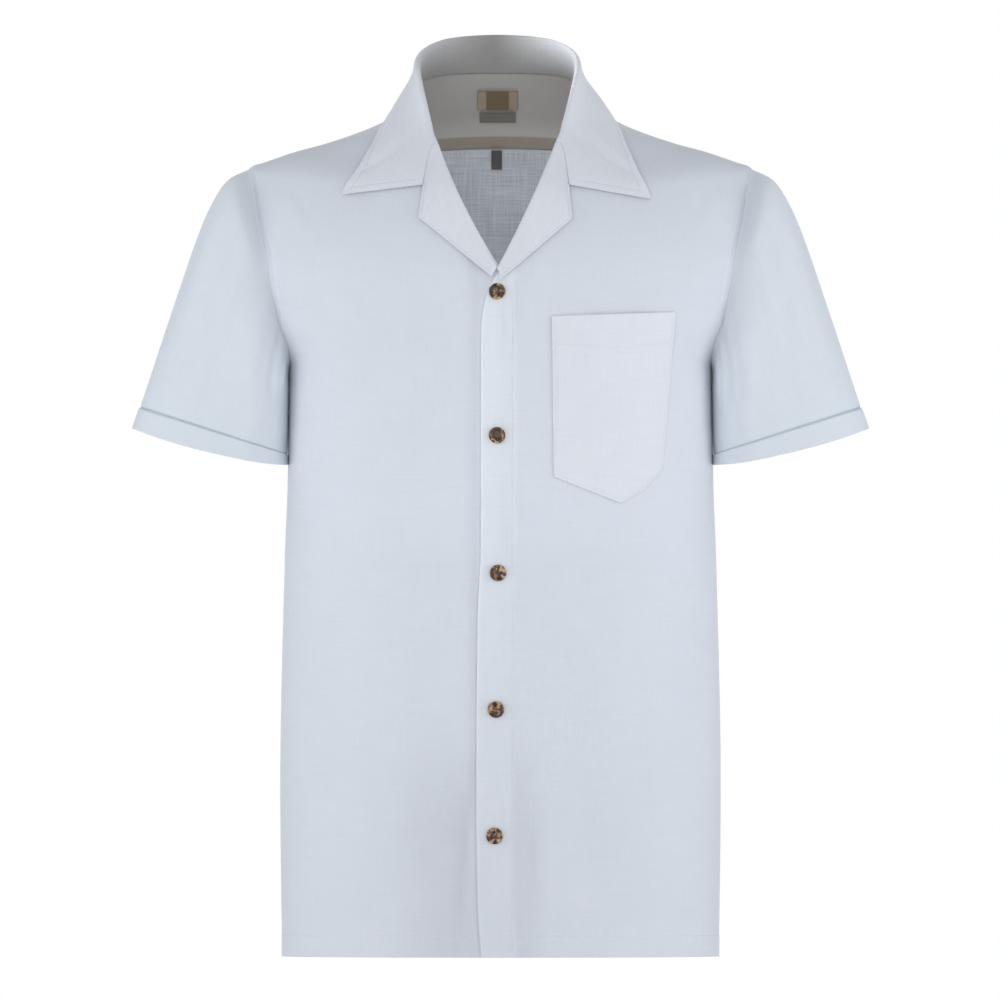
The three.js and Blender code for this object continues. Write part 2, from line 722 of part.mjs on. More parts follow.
function lapelStrip(name, t) {
  const side = name === "left" ? 1 : -1;
  const place = rollPlace(name, t);
  const seat = edgeOn(place, 0);
  if (side < 0) seat.point.addScaledVector(seat.normal, underlapHeight(seat.point.x, seat.point.z));
  const beyond = pastEdge(seat, rollPlace(name, t - 0.02), rollPlace(name, t + 0.02)).multiplyScalar(-side);
  const edgeLift = leafClear + lapelLift;
  const edge = edgeOn(lapelEdge(name, t), edgeLift);
  const roll = mix(lapelRollLow, collarKeys[collarKeys.length - 1].roll, step(t, 0, 0.5));
  return turnedStrip(seat, beyond, { stand: 0, lean: 1, roll, ease: lapelEase, edge, edgeLift });
}

// The seam between a lapel and the collar, with the outward directions that both pieces share there.
function gorge(name) {
  const below = lapelStrip(name, 1 - 1 / lapelRows);
  const here = lapelStrip(name, 1);
  const above = collarStrip(name, gorgeNeighbour);
  const grid = withNormals([below, here, above]);
  return turned(grid, name === "left")[1];
}

function turned(grid, keep) {
  if (!keep) grid.forEach((row) => row.forEach((spot) => spot.normal.negate()));
  return grid;
}

function lapel(name) {
  const rows = [];
  for (let row = 0; row <= lapelRows; row += 1) rows.push(lapelStrip(name, row / lapelRows));
  const grid = turned(withNormals(rows), name === "left");
  grid[lapelRows] = gorge(name);
  return sheet("lapel_" + name, grid, linen.collar, { pull: seamGap });
}

// The collar's free edge on one side, for one row of its key table.
function collarEdge(key, name) {
  const side = name === "left" ? 1 : -1;
  const tip = collarTips[name];
  const notch = lapelCorners[name].notch;
  if (key.station !== undefined) {
    return edgeOn({ station: key.station, angle: onSide(key.angle, side) }, key.lift);
  }
  const shoulder = { x: leafShoulder.x * side, z: leafShoulder.z };
  const from = key.alongTip !== undefined ? shoulder : tip;
  const to = key.alongTip !== undefined ? tip : notch;
  const share = key.alongTip ?? key.alongEnd;
  const place = locate(mix(from.x, to.x, share), mix(from.z, to.z, share));
  place.angle = side > 0 ? place.angle : (place.angle + 360) % 360;
  return edgeOn(place, key.lift);
}

function collarSeat(name, seat) {
  const side = name === "left" ? 1 : -1;
  if (seat <= 1) return { station: neckStation, angle: onSide(90 * (1 - seat), side) };
  return necklinePlace(name, 2 - seat);
}

const collarSeats = [0, 0.17, 0.33, 0.5, 0.67, 0.84, 1, 1.1, 1.2, 1.3, 1.42, 1.55, 1.65, 1.75, 1.88, 2];
const gorgeNeighbour = collarSeats[collarSeats.length - 2];

const collarCurves = Object.fromEntries(
  ["left", "right"].map((name) => {
    const rows = collarKeys.map((key) => {
      const { point, normal, station, angle } = collarEdge(key, name);
      const { seat, stand, lean, roll, ease, lift } = key;
      const spot = { x: point.x, y: point.y, z: point.z, nx: normal.x, ny: normal.y, nz: normal.z };
      return { seat, stand, lean, roll, ease, lift, station, angle, ...spot };
    });
    return [name, curvesOf(rows, "seat")];
  }),
);

function collarStrip(name, at) {
  const side = name === "left" ? 1 : -1;
  const curve = collarCurves[name];
  const seat = edgeOn(collarSeat(name, at), 0);
  const before = collarSeat(name, Math.max(at - 0.02, 0));
  const after = collarSeat(name, at + 0.02);
  const beyond = pastEdge(seat, before, after).multiplyScalar(side);
  const edge = {
    point: new THREE.Vector3(curve.x(at), curve.y(at), curve.z(at)),
    normal: new THREE.Vector3(curve.nx(at), curve.ny(at), curve.nz(at)).normalize(),
    station: curve.station(at),
    angle: curve.angle(at),
  };
  const shape = { stand: curve.stand(at), lean: curve.lean(at), roll: curve.roll(at), ease: curve.ease(at) };
  return turnedStrip(seat, beyond, { ...shape, edge, edgeLift: curve.lift(at) });
}

function collar() {
  const half = (name) => {
    const strips = collarSeats.slice(0, -1).map((at) => collarStrip(name, at));
    return [...strips, lapelStrip(name, 1)];
  };
  const rows = [...half("right").slice(1).reverse(), ...half("left")];
  const grid = withNormals(rows).map((row) => row.map((spot) => ({ ...spot, normal: spot.normal.negate() })));
  grid[0] = gorge("right");
  grid[grid.length - 1] = gorge("left");
  return sheet("collar", grid, linen.collar);
}

function pocketPatch() {
  const { top, foot, rows, mouthLift } = pocket;
  const width = foot[foot.length - 1].x - foot[0].x;
  const shares = [0, 0.15, 0.3, 0.46, 0.614, 0.715, 0.816, 1];
  const footAt = (share) => {
    const x = foot[0].x + width * share;
    const next = Math.max(1, foot.findIndex((corner) => corner.x >= x - 0.1));
    const from = foot[next - 1];
    return mix(from.z, foot[next].z, (x - from.x) / (foot[next].x - from.x));
  };
  const grid = [];
  for (let row = 0; row <= rows; row += 1) {
    const up = row / rows;
    grid.push(
      shares.map((share) => {
        const lowX = foot[0].x + width * share;
        const highX = mix(top[0].x, top[1].x, share);
        const highZ = mix(top[0].z, top[1].z, share);
        const place = locate(mix(lowX, highX, up), mix(footAt(share), highZ, up));
        const puff = mouthLift * Math.sin(Math.PI * share) * up;
        return clothSpot(place.station, place.angle, pocketGap + wall + puff);
      }),
    );
  }
  return sheet("pocket", grid, linen.pocket, { pull: 0 });
}

function label({ name, x, z, width, height, colour }) {
  const across = [-0.5, 0, 0.5];
  const grid = [-0.5, 0, 0.5].map((up) =>
    across.map((share) => {
      const place = locate(x + width * share, z + height * up, 1);
      return clothSpot(place.station, place.angle, -wall - labelGap);
    }),
  );
  return sheet(name, grid, colour, { thickness: labelWall, pull: 0 });
}

const wasm = await Module();
wasm.setup();

function toSolid(geometry) {
  const bare = geometry.clone();
  bare.deleteAttribute("normal");
  bare.deleteAttribute("uv");
  const merged = mergeVertices(bare, 1e-4);
  return new wasm.Manifold(
    new wasm.Mesh({
      numProp: 3,
      vertProperties: merged.attributes.position.array,
      triVerts: new Uint32Array(merged.index.array),
    }),
  );
}

function toGeometry(solid) {
  const made = solid.getMesh();
  const geometry = new THREE.BufferGeometry();
  geometry.setAttribute("position", new THREE.BufferAttribute(made.vertProperties, 3));
  geometry.setIndex(new THREE.BufferAttribute(made.triVerts, 1));
  return geometry;
}

// A four-hole button with a raised rim round a dished middle, lying on the band.
function button(number, centre) {
  const r = buttonRadius;
  const floor = buttonDepth - buttonDish;
  const section = [
    new THREE.Vector2(0, 0),
    new THREE.Vector2(r - buttonBevel, 0),
    new THREE.Vector2(r, buttonWidestAt),
    new THREE.Vector2(r - buttonRim.outer, buttonDepth),
    new THREE.Vector2(r - buttonRim.inner, buttonDepth),
    new THREE.Vector2(r - buttonRim.foot, floor),
    new THREE.Vector2(0, floor),
  ];
  const disc = new THREE.LatheGeometry(section, buttonSides);
  let solid = toSolid(disc);
  for (const across of [-1, 1]) {
    for (const along of [-1, 1]) {
      const drill = new THREE.CylinderGeometry(buttonHole, buttonHole, 4 * buttonDepth, 6);
      drill.translate((across * buttonHoleSpread) / 2, 0, (along * buttonHoleSpread) / 2);
      solid = solid.subtract(toSolid(drill));
    }
  }
  const geometry = toGeometry(solid);
  const place = locate(centre.x, centre.z);
  const seat = clothSpot(place.station, place.angle, bandRise + buttonLift);
  const mesh = namedMesh("button_" + number, geometry, buttonColour, buttonRoughness);
  mesh.position.copy(seat.point);
  mesh.quaternion.setFromUnitVectors(new THREE.Vector3(0, 1, 0), seat.normal);
  return mesh;
}

const group = new THREE.Group();
group.add(front("left"), front("right"), back(), yoke());
group.add(sleeve("left"), sleeve("right"));
group.add(collar(), lapel("left"), lapel("right"));
group.add(pocketPatch());
buttonCentres.forEach((centre, index) => group.add(button(index + 1, centre)));
labels.forEach((row) => group.add(label(row)));

export default group;
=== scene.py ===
import json
import math

import bmesh
import bpy
import numpy as np
from mathutils import Matrix, Vector

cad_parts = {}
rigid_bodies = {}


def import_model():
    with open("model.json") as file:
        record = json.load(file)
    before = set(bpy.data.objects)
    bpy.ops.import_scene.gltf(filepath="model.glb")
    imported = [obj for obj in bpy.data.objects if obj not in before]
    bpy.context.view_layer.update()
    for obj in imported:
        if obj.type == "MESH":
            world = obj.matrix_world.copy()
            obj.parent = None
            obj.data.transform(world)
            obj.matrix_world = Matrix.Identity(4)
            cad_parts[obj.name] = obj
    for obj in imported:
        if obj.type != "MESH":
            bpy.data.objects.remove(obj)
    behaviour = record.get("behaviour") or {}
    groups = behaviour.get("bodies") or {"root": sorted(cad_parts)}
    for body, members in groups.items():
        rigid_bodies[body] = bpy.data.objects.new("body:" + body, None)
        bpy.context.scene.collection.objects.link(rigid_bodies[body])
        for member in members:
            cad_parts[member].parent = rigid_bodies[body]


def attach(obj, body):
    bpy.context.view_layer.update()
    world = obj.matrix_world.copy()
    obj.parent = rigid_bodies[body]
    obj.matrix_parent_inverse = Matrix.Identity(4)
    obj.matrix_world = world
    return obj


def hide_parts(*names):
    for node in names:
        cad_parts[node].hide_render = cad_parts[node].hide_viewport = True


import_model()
for spare in [o for o in bpy.data.objects if o.name in ("Cube", "Light", "Camera")]:
    bpy.data.objects.remove(spare)
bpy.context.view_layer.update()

# The two fronts.
# Each is one panel of plain-weave linen from the hem to the shoulder line, turned up at the hem. The
# wearer's left front ends in a folded button band and lies over the right one, which carries the buttons.
MM = 0.001
HEM_Z = -747.0
UNDERARM_STATION, SHOULDER_STATION, NECK_STATION, YOKE_STATION = 518.0, 700.0, 860.0, 725.0
ARMHOLE_TURN = 26.3
NECK_SHIFT, NECK_SHIFT_FROM = -2.6, 825.0
RING_COLUMNS = (
    "at", "side_x", "side_z", "front_y", "front_z", "back_y", "back_z",
    "flat", "edge", "front_hold", "back_hold",
)
RINGS = (
    (0, 192, HEM_Z, -124, HEM_Z, 118, HEM_Z, 0.83, 0.83, 2, 2),
    (150, 193.6, -597, -124, -597, 117, -597, 0.83, 0.83, 2, 2),
    (349, 189.6, -398, -125, -398, 116, -398, 0.83, 0.83, 2, 2),
    (433, 186.8, -314, -127, -314, 118, -314, 0.84, 0.84, 2, 2),
    (518, 186.5, -229, -128, -229, 120, -229, 0.85, 0.85, 2, 2),
    (565, 211, -184, -125, -189, 121, -184, 0.88, 0.88, 2, 2),
    (609, 225.6, -141, -120, -150, 121, -139, 0.9, 0.91, 2, 2),
    (656, 229, -97, -111, -112, 117, -92, 0.94, 1.02, 2, 2),
    (700, 222, -53, -101, -80, 109, -50, 1, 1.18, 2, 2),
    (780, 150, -30, -90, -62, 97, -10, 0.95, 1.15, 2, 1.7),
    (830, 99, -13, -84, -54, 86, 13, 0.85, 1, 1.7, 1.2),
    (860, 71, 20, -78, -46, 77, 32, 0.72, 0.88, 1.4, 0.8),
)

# Long soft folds that hang down the body: face, x, from and to station, half width, rise.
HANGING_FOLDS = (
    (-1, -31, -60, 190, 15, -3.2),
    (-1, 27, -60, 170, 12, -2.6),
    (-1, -97, 40, 500, 46, 2.6),
    (-1, 105, 60, 420, 48, 2.4),
    (-1, -150, -40, 300, 26, -2),
    (-1, 158, -40, 260, 24, -1.8),
    (1, 0, 60, 560, 40, -3),
    (1, -78, -40, 430, 34, 3),
    (1, 84, -50, 400, 36, 2.8),
    (1, -140, -20, 340, 26, -2.2),
    (1, 146, -20, 330, 26, -2.4),
)

# Smaller creases: face, x and z of both ends, half width, rise, sideways bow.
CREASES = (
    (-1, 5, -352, 7, -404, 5, -1.3, 0),
    (-1, 1, -166, 4, -214, 4.5, -1.5, 0),
    (-1, 9, -160, 13, -226, 6, -1.0, 1),
    (-1, 44, -128, 58, -176, 17, -1.5, 3),
    (-1, -46, -138, -58, -190, 15, -1.1, -3),
    (-1, -26, -600, -34, -745, 8, -1.4, 2),
    (-1, -50, -520, -58, -900, 36, -3.2, 3),
    (-1, 24, -610, 33, -745, 8, -1.3, -2),
    (-1, -60, -430, -72, -700, 20, -1.2, 4),
    (-1, 62, -470, 76, -720, 22, -1.1, -4),
    (-1, -120, -380, -126, -690, 24, 1.3, 5),
    (-1, 132, -400, 138, -700, 22, 1.2, -5),
    (-1, -176, -150, -112, -205, 12, -1.4, 6),
    (-1, -178, -178, -128, -262, 12, 1.2, 6),
    (-1, 176, -150, 160, -215, 12, -1.3, -5),
    (-1, 180, -196, 166, -300, 11, 1.1, -4),
    (-1, -196, -66, -160, -118, 12, 1.2, 3),
    (-1, 196, -66, 168, -112, 12, 1.2, -3),
    (-1, -12, -300, -10, -345, 8, 0.7, 0),
    (-1, -40, -560, -48, -620, 14, 0.9, 2),
    (1, -60, -120, -70, -330, 20, -1.6, 5),
    (1, 66, -130, 58, -340, 20, -1.5, -5),
    (1, -160, -150, -100, -230, 14, 1.6, 6),
    (1, 162, -148, 104, -236, 14, 1.6, -6),
    (1, -36, -420, -30, -700, 22, 1.4, 6),
    (1, 40, -450, 34, -710, 20, 1.3, -6),
    (1, -110, -430, -120, -720, 22, -1.5, 5),
    (1, 116, -400, 124, -730, 22, -1.6, -5),
    (1, -170, -300, -176, -640, 18, 1.4, 3),
    (1, 172, -330, 176, -660, 18, 1.3, -3),
    (1, -20, -70, -26, -160, 16, 0.9, 2),
    (1, 24, -66, 22, -150, 15, 0.8, -2),
)


def through(at, value):
    """A smooth curve through a table's column, which never swings past its rows."""
    at, value = np.asarray(at, float), np.asarray(value, float)
    gap = np.diff(at)
    rate = np.diff(value) / gap
    slope = np.zeros(len(at))
    slope[0], slope[-1] = rate[0], rate[-1]
    for i in range(1, len(at) - 1):
        if rate[i - 1] * rate[i] > 0:
            before, after = 2 * gap[i] + gap[i - 1], gap[i] + 2 * gap[i - 1]
            slope[i] = (before + after) / (before / rate[i - 1] + after / rate[i])

    def curve(where):
        where = np.asarray(where, float)
        i = np.clip(np.searchsorted(at, where) - 1, 0, len(gap) - 1)
        t = (where - at[i]) / gap[i]
        rest = 1 - t
        ends = value[i] * (1 + 2 * t) * rest * rest + value[i + 1] * t * t * (3 - 2 * t)
        return ends + gap[i] * t * rest * (slope[i] * rest - slope[i + 1] * t)

    return curve


def mix(a, b, t):
    return a + (b - a) * t


def step(x, low, high):
    t = np.clip((np.asarray(x, float) - low) / (high - low), 0, 1)
    return t * t * (3 - 2 * t)


def swell(t):
    """The section of a fold: 1 in its middle, falling smoothly to nothing at -1 and 1."""
    return np.where(np.abs(t) < 1, (1 - t * t) ** 2, 0)


def bell(t):
    """1 in the middle, fading out on both sides."""
    return np.exp(-(t**2))


def unit(v):
    return v / np.maximum(np.linalg.norm(v, axis=-1, keepdims=True), 1e-12)


def run_along(points, axis=0):
    """How far each point of a line, or of each line of a grid, lies from the line's start."""
    first = np.take(points, [0], axis=axis)
    return np.cumsum(np.linalg.norm(np.diff(points, axis=axis, prepend=first), axis=-1), axis=axis)


ring_rows = np.array(RINGS, float)
ring = {column: through(ring_rows[:, 0], ring_rows[:, k]) for k, column in enumerate(RING_COLUMNS) if k}


def body_point(station, angle):
    """A point of the smooth body. Angle 0 is the wearer's left side, -90 the front and 90 the back."""
    station, angle = np.broadcast_arrays(np.asarray(station, float), np.asarray(angle, float))
    across, along = np.cos(np.radians(angle)), np.sin(np.radians(angle))
    front = along < 0
    depth = np.where(front, ring["front_y"](station), ring["back_y"](station))
    middle_z = np.where(front, ring["front_z"](station), ring["back_z"](station))
    hold = np.where(front, ring["front_hold"](station), ring["back_hold"](station))
    side_z = ring["side_z"](station)
    shift = NECK_SHIFT * step(station, NECK_SHIFT_FROM, NECK_STATION)
    x = ring["side_x"](station) * np.sign(across) * np.abs(across) ** ring["flat"](station) + shift
    y = depth * np.abs(along) ** ring["edge"](station)
    z = side_z + (middle_z - side_z) * np.abs(along) ** hold
    return np.stack([x, y, z], axis=-1)


def outwards(surface, station, angle):
    across = surface(station, angle + 0.5) - surface(station, angle - 0.5)
    up = surface(station + 1, angle) - surface(station - 1, angle)
    return unit(np.cross(across, up))


# The end of each shoulder falls away a little before the armhole: where, how deep, and how far it
# reaches outwards and inwards.
SHOULDER_FALL_X, SHOULDER_FALL, FALL_OUT, FALL_IN = 209.0, 3.6, 12.0, 26.0
FALL_FROM, FALL_FULL = 650.0, 720.0


def fold_rise(point, angle, station):
    """How far the folds and creases lift the cloth off the smooth body."""
    along = np.sin(np.radians(angle))
    face = np.where(along < 0, -1, 1)
    past = np.abs(point[..., 0]) - SHOULDER_FALL_X
    fall = SHOULDER_FALL * bell(past / np.where(past > 0, FALL_OUT, FALL_IN))
    rise = -fall * step(station, FALL_FROM, FALL_FULL)
    for side, x, low, high, reach, height in HANGING_FOLDS:
        t = (point[..., 0] - x) / reach
        fade = (high - low) / 3
        ends = step(station, low, low + fade) * (1 - step(station, high - fade, high))
        rise += (face == side) * height * ends * swell(t)
    near_middle = step(np.abs(along), 0.05, 0.35)
    for side, x0, z0, x1, z1, reach, height, bow in CREASES:
        way = np.array([x1 - x0, z1 - z0], float)
        length = np.hypot(*way)
        way /= length
        off_x, off_z = point[..., 0] - x0, point[..., 2] - z0
        t = (off_x * way[0] + off_z * way[1]) / length
        wide = (off_x * way[1] - off_z * way[0] - bow * 4 * t * (1 - t)) / reach
        ends = step(t, -0.05, 0.35) * (1 - step(t, 0.6, 1.05))
        rise += (face == side) * height * near_middle * ends * swell(wide)
    return rise


def cloth_point(station, angle):
    """The outer face of the body cloth, with its folds and creases."""
    station, angle = np.broadcast_arrays(np.asarray(station, float), np.asarray(angle, float))
    point = body_point(station, angle)
    rise = fold_rise(point, angle, station)
    return point + outwards(body_point, station, angle) * rise[..., None]


def locate(x, z, face=-1):
    """The stations and angles whose points show at x and z from the front (face -1) or from behind (1)."""
    x, z = np.broadcast_arrays(np.asarray(x, float), np.asarray(z, float))
    shape = x.shape
    x, z = x.ravel(), z.ravel()
    stations, turns = np.meshgrid(np.arange(0, NECK_STATION + 1, 10), face * np.arange(3, 178, 3))
    grid = body_point(stations, turns)[..., [0, 2]].reshape(-1, 2)
    stations, turns = stations.ravel(), turns.ravel()
    station, angle = np.empty(len(x)), np.empty(len(x))
    for first in range(0, len(x), 400):
        part = slice(first, first + 400)
        miss = (x[part, None] - grid[:, 0]) ** 2 + (z[part, None] - grid[:, 1]) ** 2
        best = miss.argmin(axis=1)
        station[part], angle[part] = stations[best], turns[best]
    for _ in range(12):
        here = body_point(station, angle)
        up = (body_point(station + 0.5, angle) - here) * 2
        along = (body_point(station, angle + 0.1) - here) * 10
        area = up[:, 0] * along[:, 2] - up[:, 2] * along[:, 0]
        area = np.where(np.abs(area) < 1e-9, 1e-9, area)
        miss_x, miss_z = x - here[:, 0], z - here[:, 2]
        station = station + np.clip((miss_x * along[:, 2] - miss_z * along[:, 0]) / area, -20, 20)
        angle = angle + np.clip((up[:, 0] * miss_z - up[:, 2] * miss_x) / area, -6, 6)
    return station.reshape(shape), angle.reshape(shape)


# Which way x runs towards each side of the wearer.
SIDES = {"left": 1, "right": -1}


def on_side(angle, side):
    return angle if side > 0 else 180 - angle


def whole_turn(angle, side):
    """Angles on the wearer's right run on past 180 degrees, so that a row there has no jump."""
    return angle if side > 0 else np.mod(np.asarray(angle) + 360, 360)


def armhole_place(turn, face):
    """A place on the armhole seam: turn 0 is the shoulder point and 180 the underarm."""
    middle, half = (SHOULDER_STATION + UNDERARM_STATION) / 2, (SHOULDER_STATION - UNDERARM_STATION) / 2
    turn = np.radians(turn)
    return middle + half * np.cos(turn), face * ARMHOLE_TURN * np.sin(turn)


# Rows up the side of a panel: 0 to 12 along the side seam, 12 to 24 round the armhole, 24 to 29 along
# the shoulder line.
SIDE_ROWS, ARM_ROWS, RIDGE_ROWS = 12, 12, 5
MIDDLE_ROW, SHOULDER_ROW = SIDE_ROWS + ARM_ROWS / 2, SIDE_ROWS + ARM_ROWS
FRONT_ROWS = SHOULDER_ROW + RIDGE_ROWS


def side_place(row, face):
    """Where a row of a panel on one face ends, at the side seam, armhole or shoulder line."""
    arm = np.clip((row - SIDE_ROWS) / ARM_ROWS, 0, 1)
    ridge = np.clip((row - SHOULDER_ROW) / RIDGE_ROWS, 0, 1)
    station, angle = armhole_place(180 * (1 - arm), face)
    station = np.where(row < SIDE_ROWS, UNDERARM_STATION * row / SIDE_ROWS, station)
    return mix(station, NECK_STATION, ridge), np.where(row < SIDE_ROWS, 0, angle)


OPENING_FOOT = {"left": (-1.5, -143.5), "right": (-3.2, -141.0)}
ROLL_BOW = {"left": 3.0, "right": 5.0}
LAPEL_TOP = {"left": (51.3, -32.0), "right": (-57.5, -33.0)}
NECKLINE_PULL = -35.0
BAND_LEFT, BAND_STITCH_X, BAND_RISE, BAND_TOP = 17.0, 11.2, 0.8, (-152.0, -140.0)
UNDERLAP_X, UNDERLAP_START, UNDERLAP_END, UNDERLAP_DROP = 13.0, -32.0, -20.0, 2.1
UNDERLAP_TOP = (-136.0, -114.0)
front_edge = {
    "left": through(
        (HEM_Z, -697, -590, -450, -385, -196, -174, -156, OPENING_FOOT["left"][1]),
        (-BAND_LEFT, -20, -21.2, -20.2, -17.3, -BAND_LEFT, -14.5, -8.5, OPENING_FOOT["left"][0]),
    ),
    "right": through(
        (HEM_Z, -200, -165, OPENING_FOOT["right"][1]), (UNDERLAP_X, UNDERLAP_X, 9, OPENING_FOOT["right"][0])
    ),
}


def roll_place(name, t):
    """A place on the line where a lapel turns over, from the foot of the opening (0) to the collar (1)."""
    t = np.asarray(t, float)
    (foot_x, foot_z), (top_x, top_z) = OPENING_FOOT[name], LAPEL_TOP[name]
    bow = 4 * t * (1 - t) * ROLL_BOW[name] * np.sign(top_x)
    station, angle = locate(mix(foot_x, top_x, t) + bow, mix(foot_z, top_z, t))
    return station, whole_turn(angle, SIDES[name])


def neckline_place(name, t):
    """The front neckline from the collar's corner (0) to the side of the neck (1)."""
    side = SIDES[name]
    corner_station, corner_angle = roll_place(name, 1.0)
    rest = 1 - t

    def bend(a, b, c):
        return a * rest * rest + 2 * b * t * rest + c * t * t

    station = bend(corner_station, NECK_STATION, NECK_STATION)
    return station, bend(corner_angle, whole_turn(on_side(NECKLINE_PULL, side), side), on_side(0, side))


def front_place(name, row, t):
    """The station and angle of a front at a row and a share t of the way from its free edge to the side."""
    side = SIDES[name]
    end_station, end_angle = side_place(row, -1)
    end_angle = on_side(end_angle, side)
    rise = np.clip((row - SIDE_ROWS) / (MIDDLE_ROW - SIDE_ROWS), 0, 1)
    low_z = body_point(np.minimum(end_station, UNDERARM_STATION), -90)[..., 2]
    z = mix(low_z, OPENING_FOOT[name][1], rise)
    low_station, low_angle = locate(front_edge[name](z), z)
    roll = np.clip((row - MIDDLE_ROW) / (FRONT_ROWS - MIDDLE_ROW), 0, 1)
    high_station, high_angle = roll_place(name, roll)
    start_station = np.where(row <= MIDDLE_ROW, low_station, high_station)
    start_angle = np.where(row <= MIDDLE_ROW, whole_turn(low_angle, side), high_angle)
    corner_station, corner_angle = roll_place(name, 1.0)
    curve = np.clip((row - SHOULDER_ROW) / RIDGE_ROWS, 0, 1) ** 2
    bent_station, bent_angle = neckline_place(name, t)
    # Above the underarm the rows fan out soon after the armhole, which starts level there.
    fan = 1 + 3 * step(row, SIDE_ROWS - 3, SIDE_ROWS) * (1 - step(row, SIDE_ROWS + 3, SHOULDER_ROW - 3))
    station = mix(start_station[:, None], end_station[:, None], t ** fan[:, None])
    angle = mix(start_angle[:, None], end_angle[:, None], t)
    station = station + curve[:, None] * (bent_station - mix(corner_station, NECK_STATION, t))
    angle = angle + curve[:, None] * (bent_angle - mix(corner_angle, on_side(0, side), t))
    return station, angle


def spaced(marks, wide, fine=0.7, reach=3.0):
    """Distances from the first mark to the last: fine steps beside each mark and wide ones between."""
    places = []
    for low, high in zip(marks[:-1], marks[1:]):
        near = np.arange(0, min(reach, (high - low) / 2), fine)
        inner_low, inner_high = low + near[-1] + fine, high - near[-1] - fine
        between = np.linspace(inner_low, inner_high, max(2, int((inner_high - inner_low) / wide) + 1))
        places += [*(low + near), *between, *(high - near[::-1])]
    return np.unique(np.round(places, 4))


FINE_STEPS = 161


def row_lengths(place, row):
    """How long each row is, and the shares of it at even steps, for setting columns by distance."""
    t = np.linspace(0, 1, FINE_STEPS)[None, :]
    return t[0], run_along(body_point(*place(row, t)), axis=1)


def columns_by_distance(place, row, near, count, far):
    """Shares and distances of each row's columns: set ones near its start and end, even ones between."""
    t, lengths = row_lengths(place, row)
    shares, distances = [], []
    for length in lengths:
        even = np.linspace(near[-1], length[-1] - far[-1], count)[1:-1]
        want = np.concatenate([near, even, length[-1] - far[::-1]])
        distances.append(want)
        shares.append(np.interp(want, length, t))
    return np.array(shares), np.array(distances)


def dip(distance, depth, width):
    return -depth * bell(distance / width)


# The hem's depth and rise, the width and rise of a felled seam, and how far inside each edge its row of
# stitches runs.
HEM_TURN, HEM_RISE, HEM_STITCH = 20.0, 0.3, 1.2
SEAM_FELL, FELL_RISE, SIDE_STITCH, BAND_STITCH = 6.3, 0.35, 1.8, 0.9


def hem_height(station):
    turned = HEM_RISE * (1 - step(station, HEM_TURN - 0.5, HEM_TURN + 0.7))
    return turned + dip(station - HEM_TURN + HEM_STITCH, 0.2, 1)


def seam_height(from_seam):
    """A felled seam: a groove at the join, a doubled strip, and the row of stitches that holds it flat."""
    strip = FELL_RISE * (1 - step(from_seam, SEAM_FELL + 0.4, SEAM_FELL + 1.4))
    return strip + dip(from_seam, 0.05, 0.9) + dip(from_seam - SEAM_FELL, 0.25, 0.9)


# How strong the painted highlight is at a seam and at the outer edge of its fell, and how strong the painted
# shade is over the shoulders and at the hem, with the heights between which that comes.
SEAM_HIGHLIGHT, FELL_HIGHLIGHT = 0.12, 0.06
SHOULDER_SHADE, SHOULDER_SHADE_Z = 0.06, (-160, -60)
HEM_SHADE, HEM_SHADE_Z = 0.05, (-740, -430)


def painted_seam_highlight(from_seam):
    """Painted highlight along both edges of a pressed seam, where the cloth catches the light."""
    return 1 + SEAM_HIGHLIGHT * bell(from_seam / 1.6) + FELL_HIGHLIGHT * bell((from_seam - SEAM_FELL - 1) / 0.9)


def painted_height_shade(z):
    """Painted shade: the cloth is a little darker over the shoulders and towards the hem."""
    return 1 - SHOULDER_SHADE * step(z, *SHOULDER_SHADE_Z) - HEM_SHADE * (1 - step(z, *HEM_SHADE_Z))


def grid_normals(points, closed=False):
    """The way out of a grid of points, at each of them."""
    if closed:
        across = np.roll(points, -1, axis=1) - np.roll(points, 1, axis=1)
    else:
        across = np.gradient(points, axis=1)
    return unit(np.cross(across, np.gradient(points, axis=0)))


def placed(name, data):
    """A new object in the scene."""
    made = bpy.data.objects.new(name, data)
    bpy.context.collection.objects.link(made)
    return made


def stand_for(piece, node):
    """Puts a finished piece on the shirt's one body, in place of its solid."""
    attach(piece, "root")
    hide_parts(node)


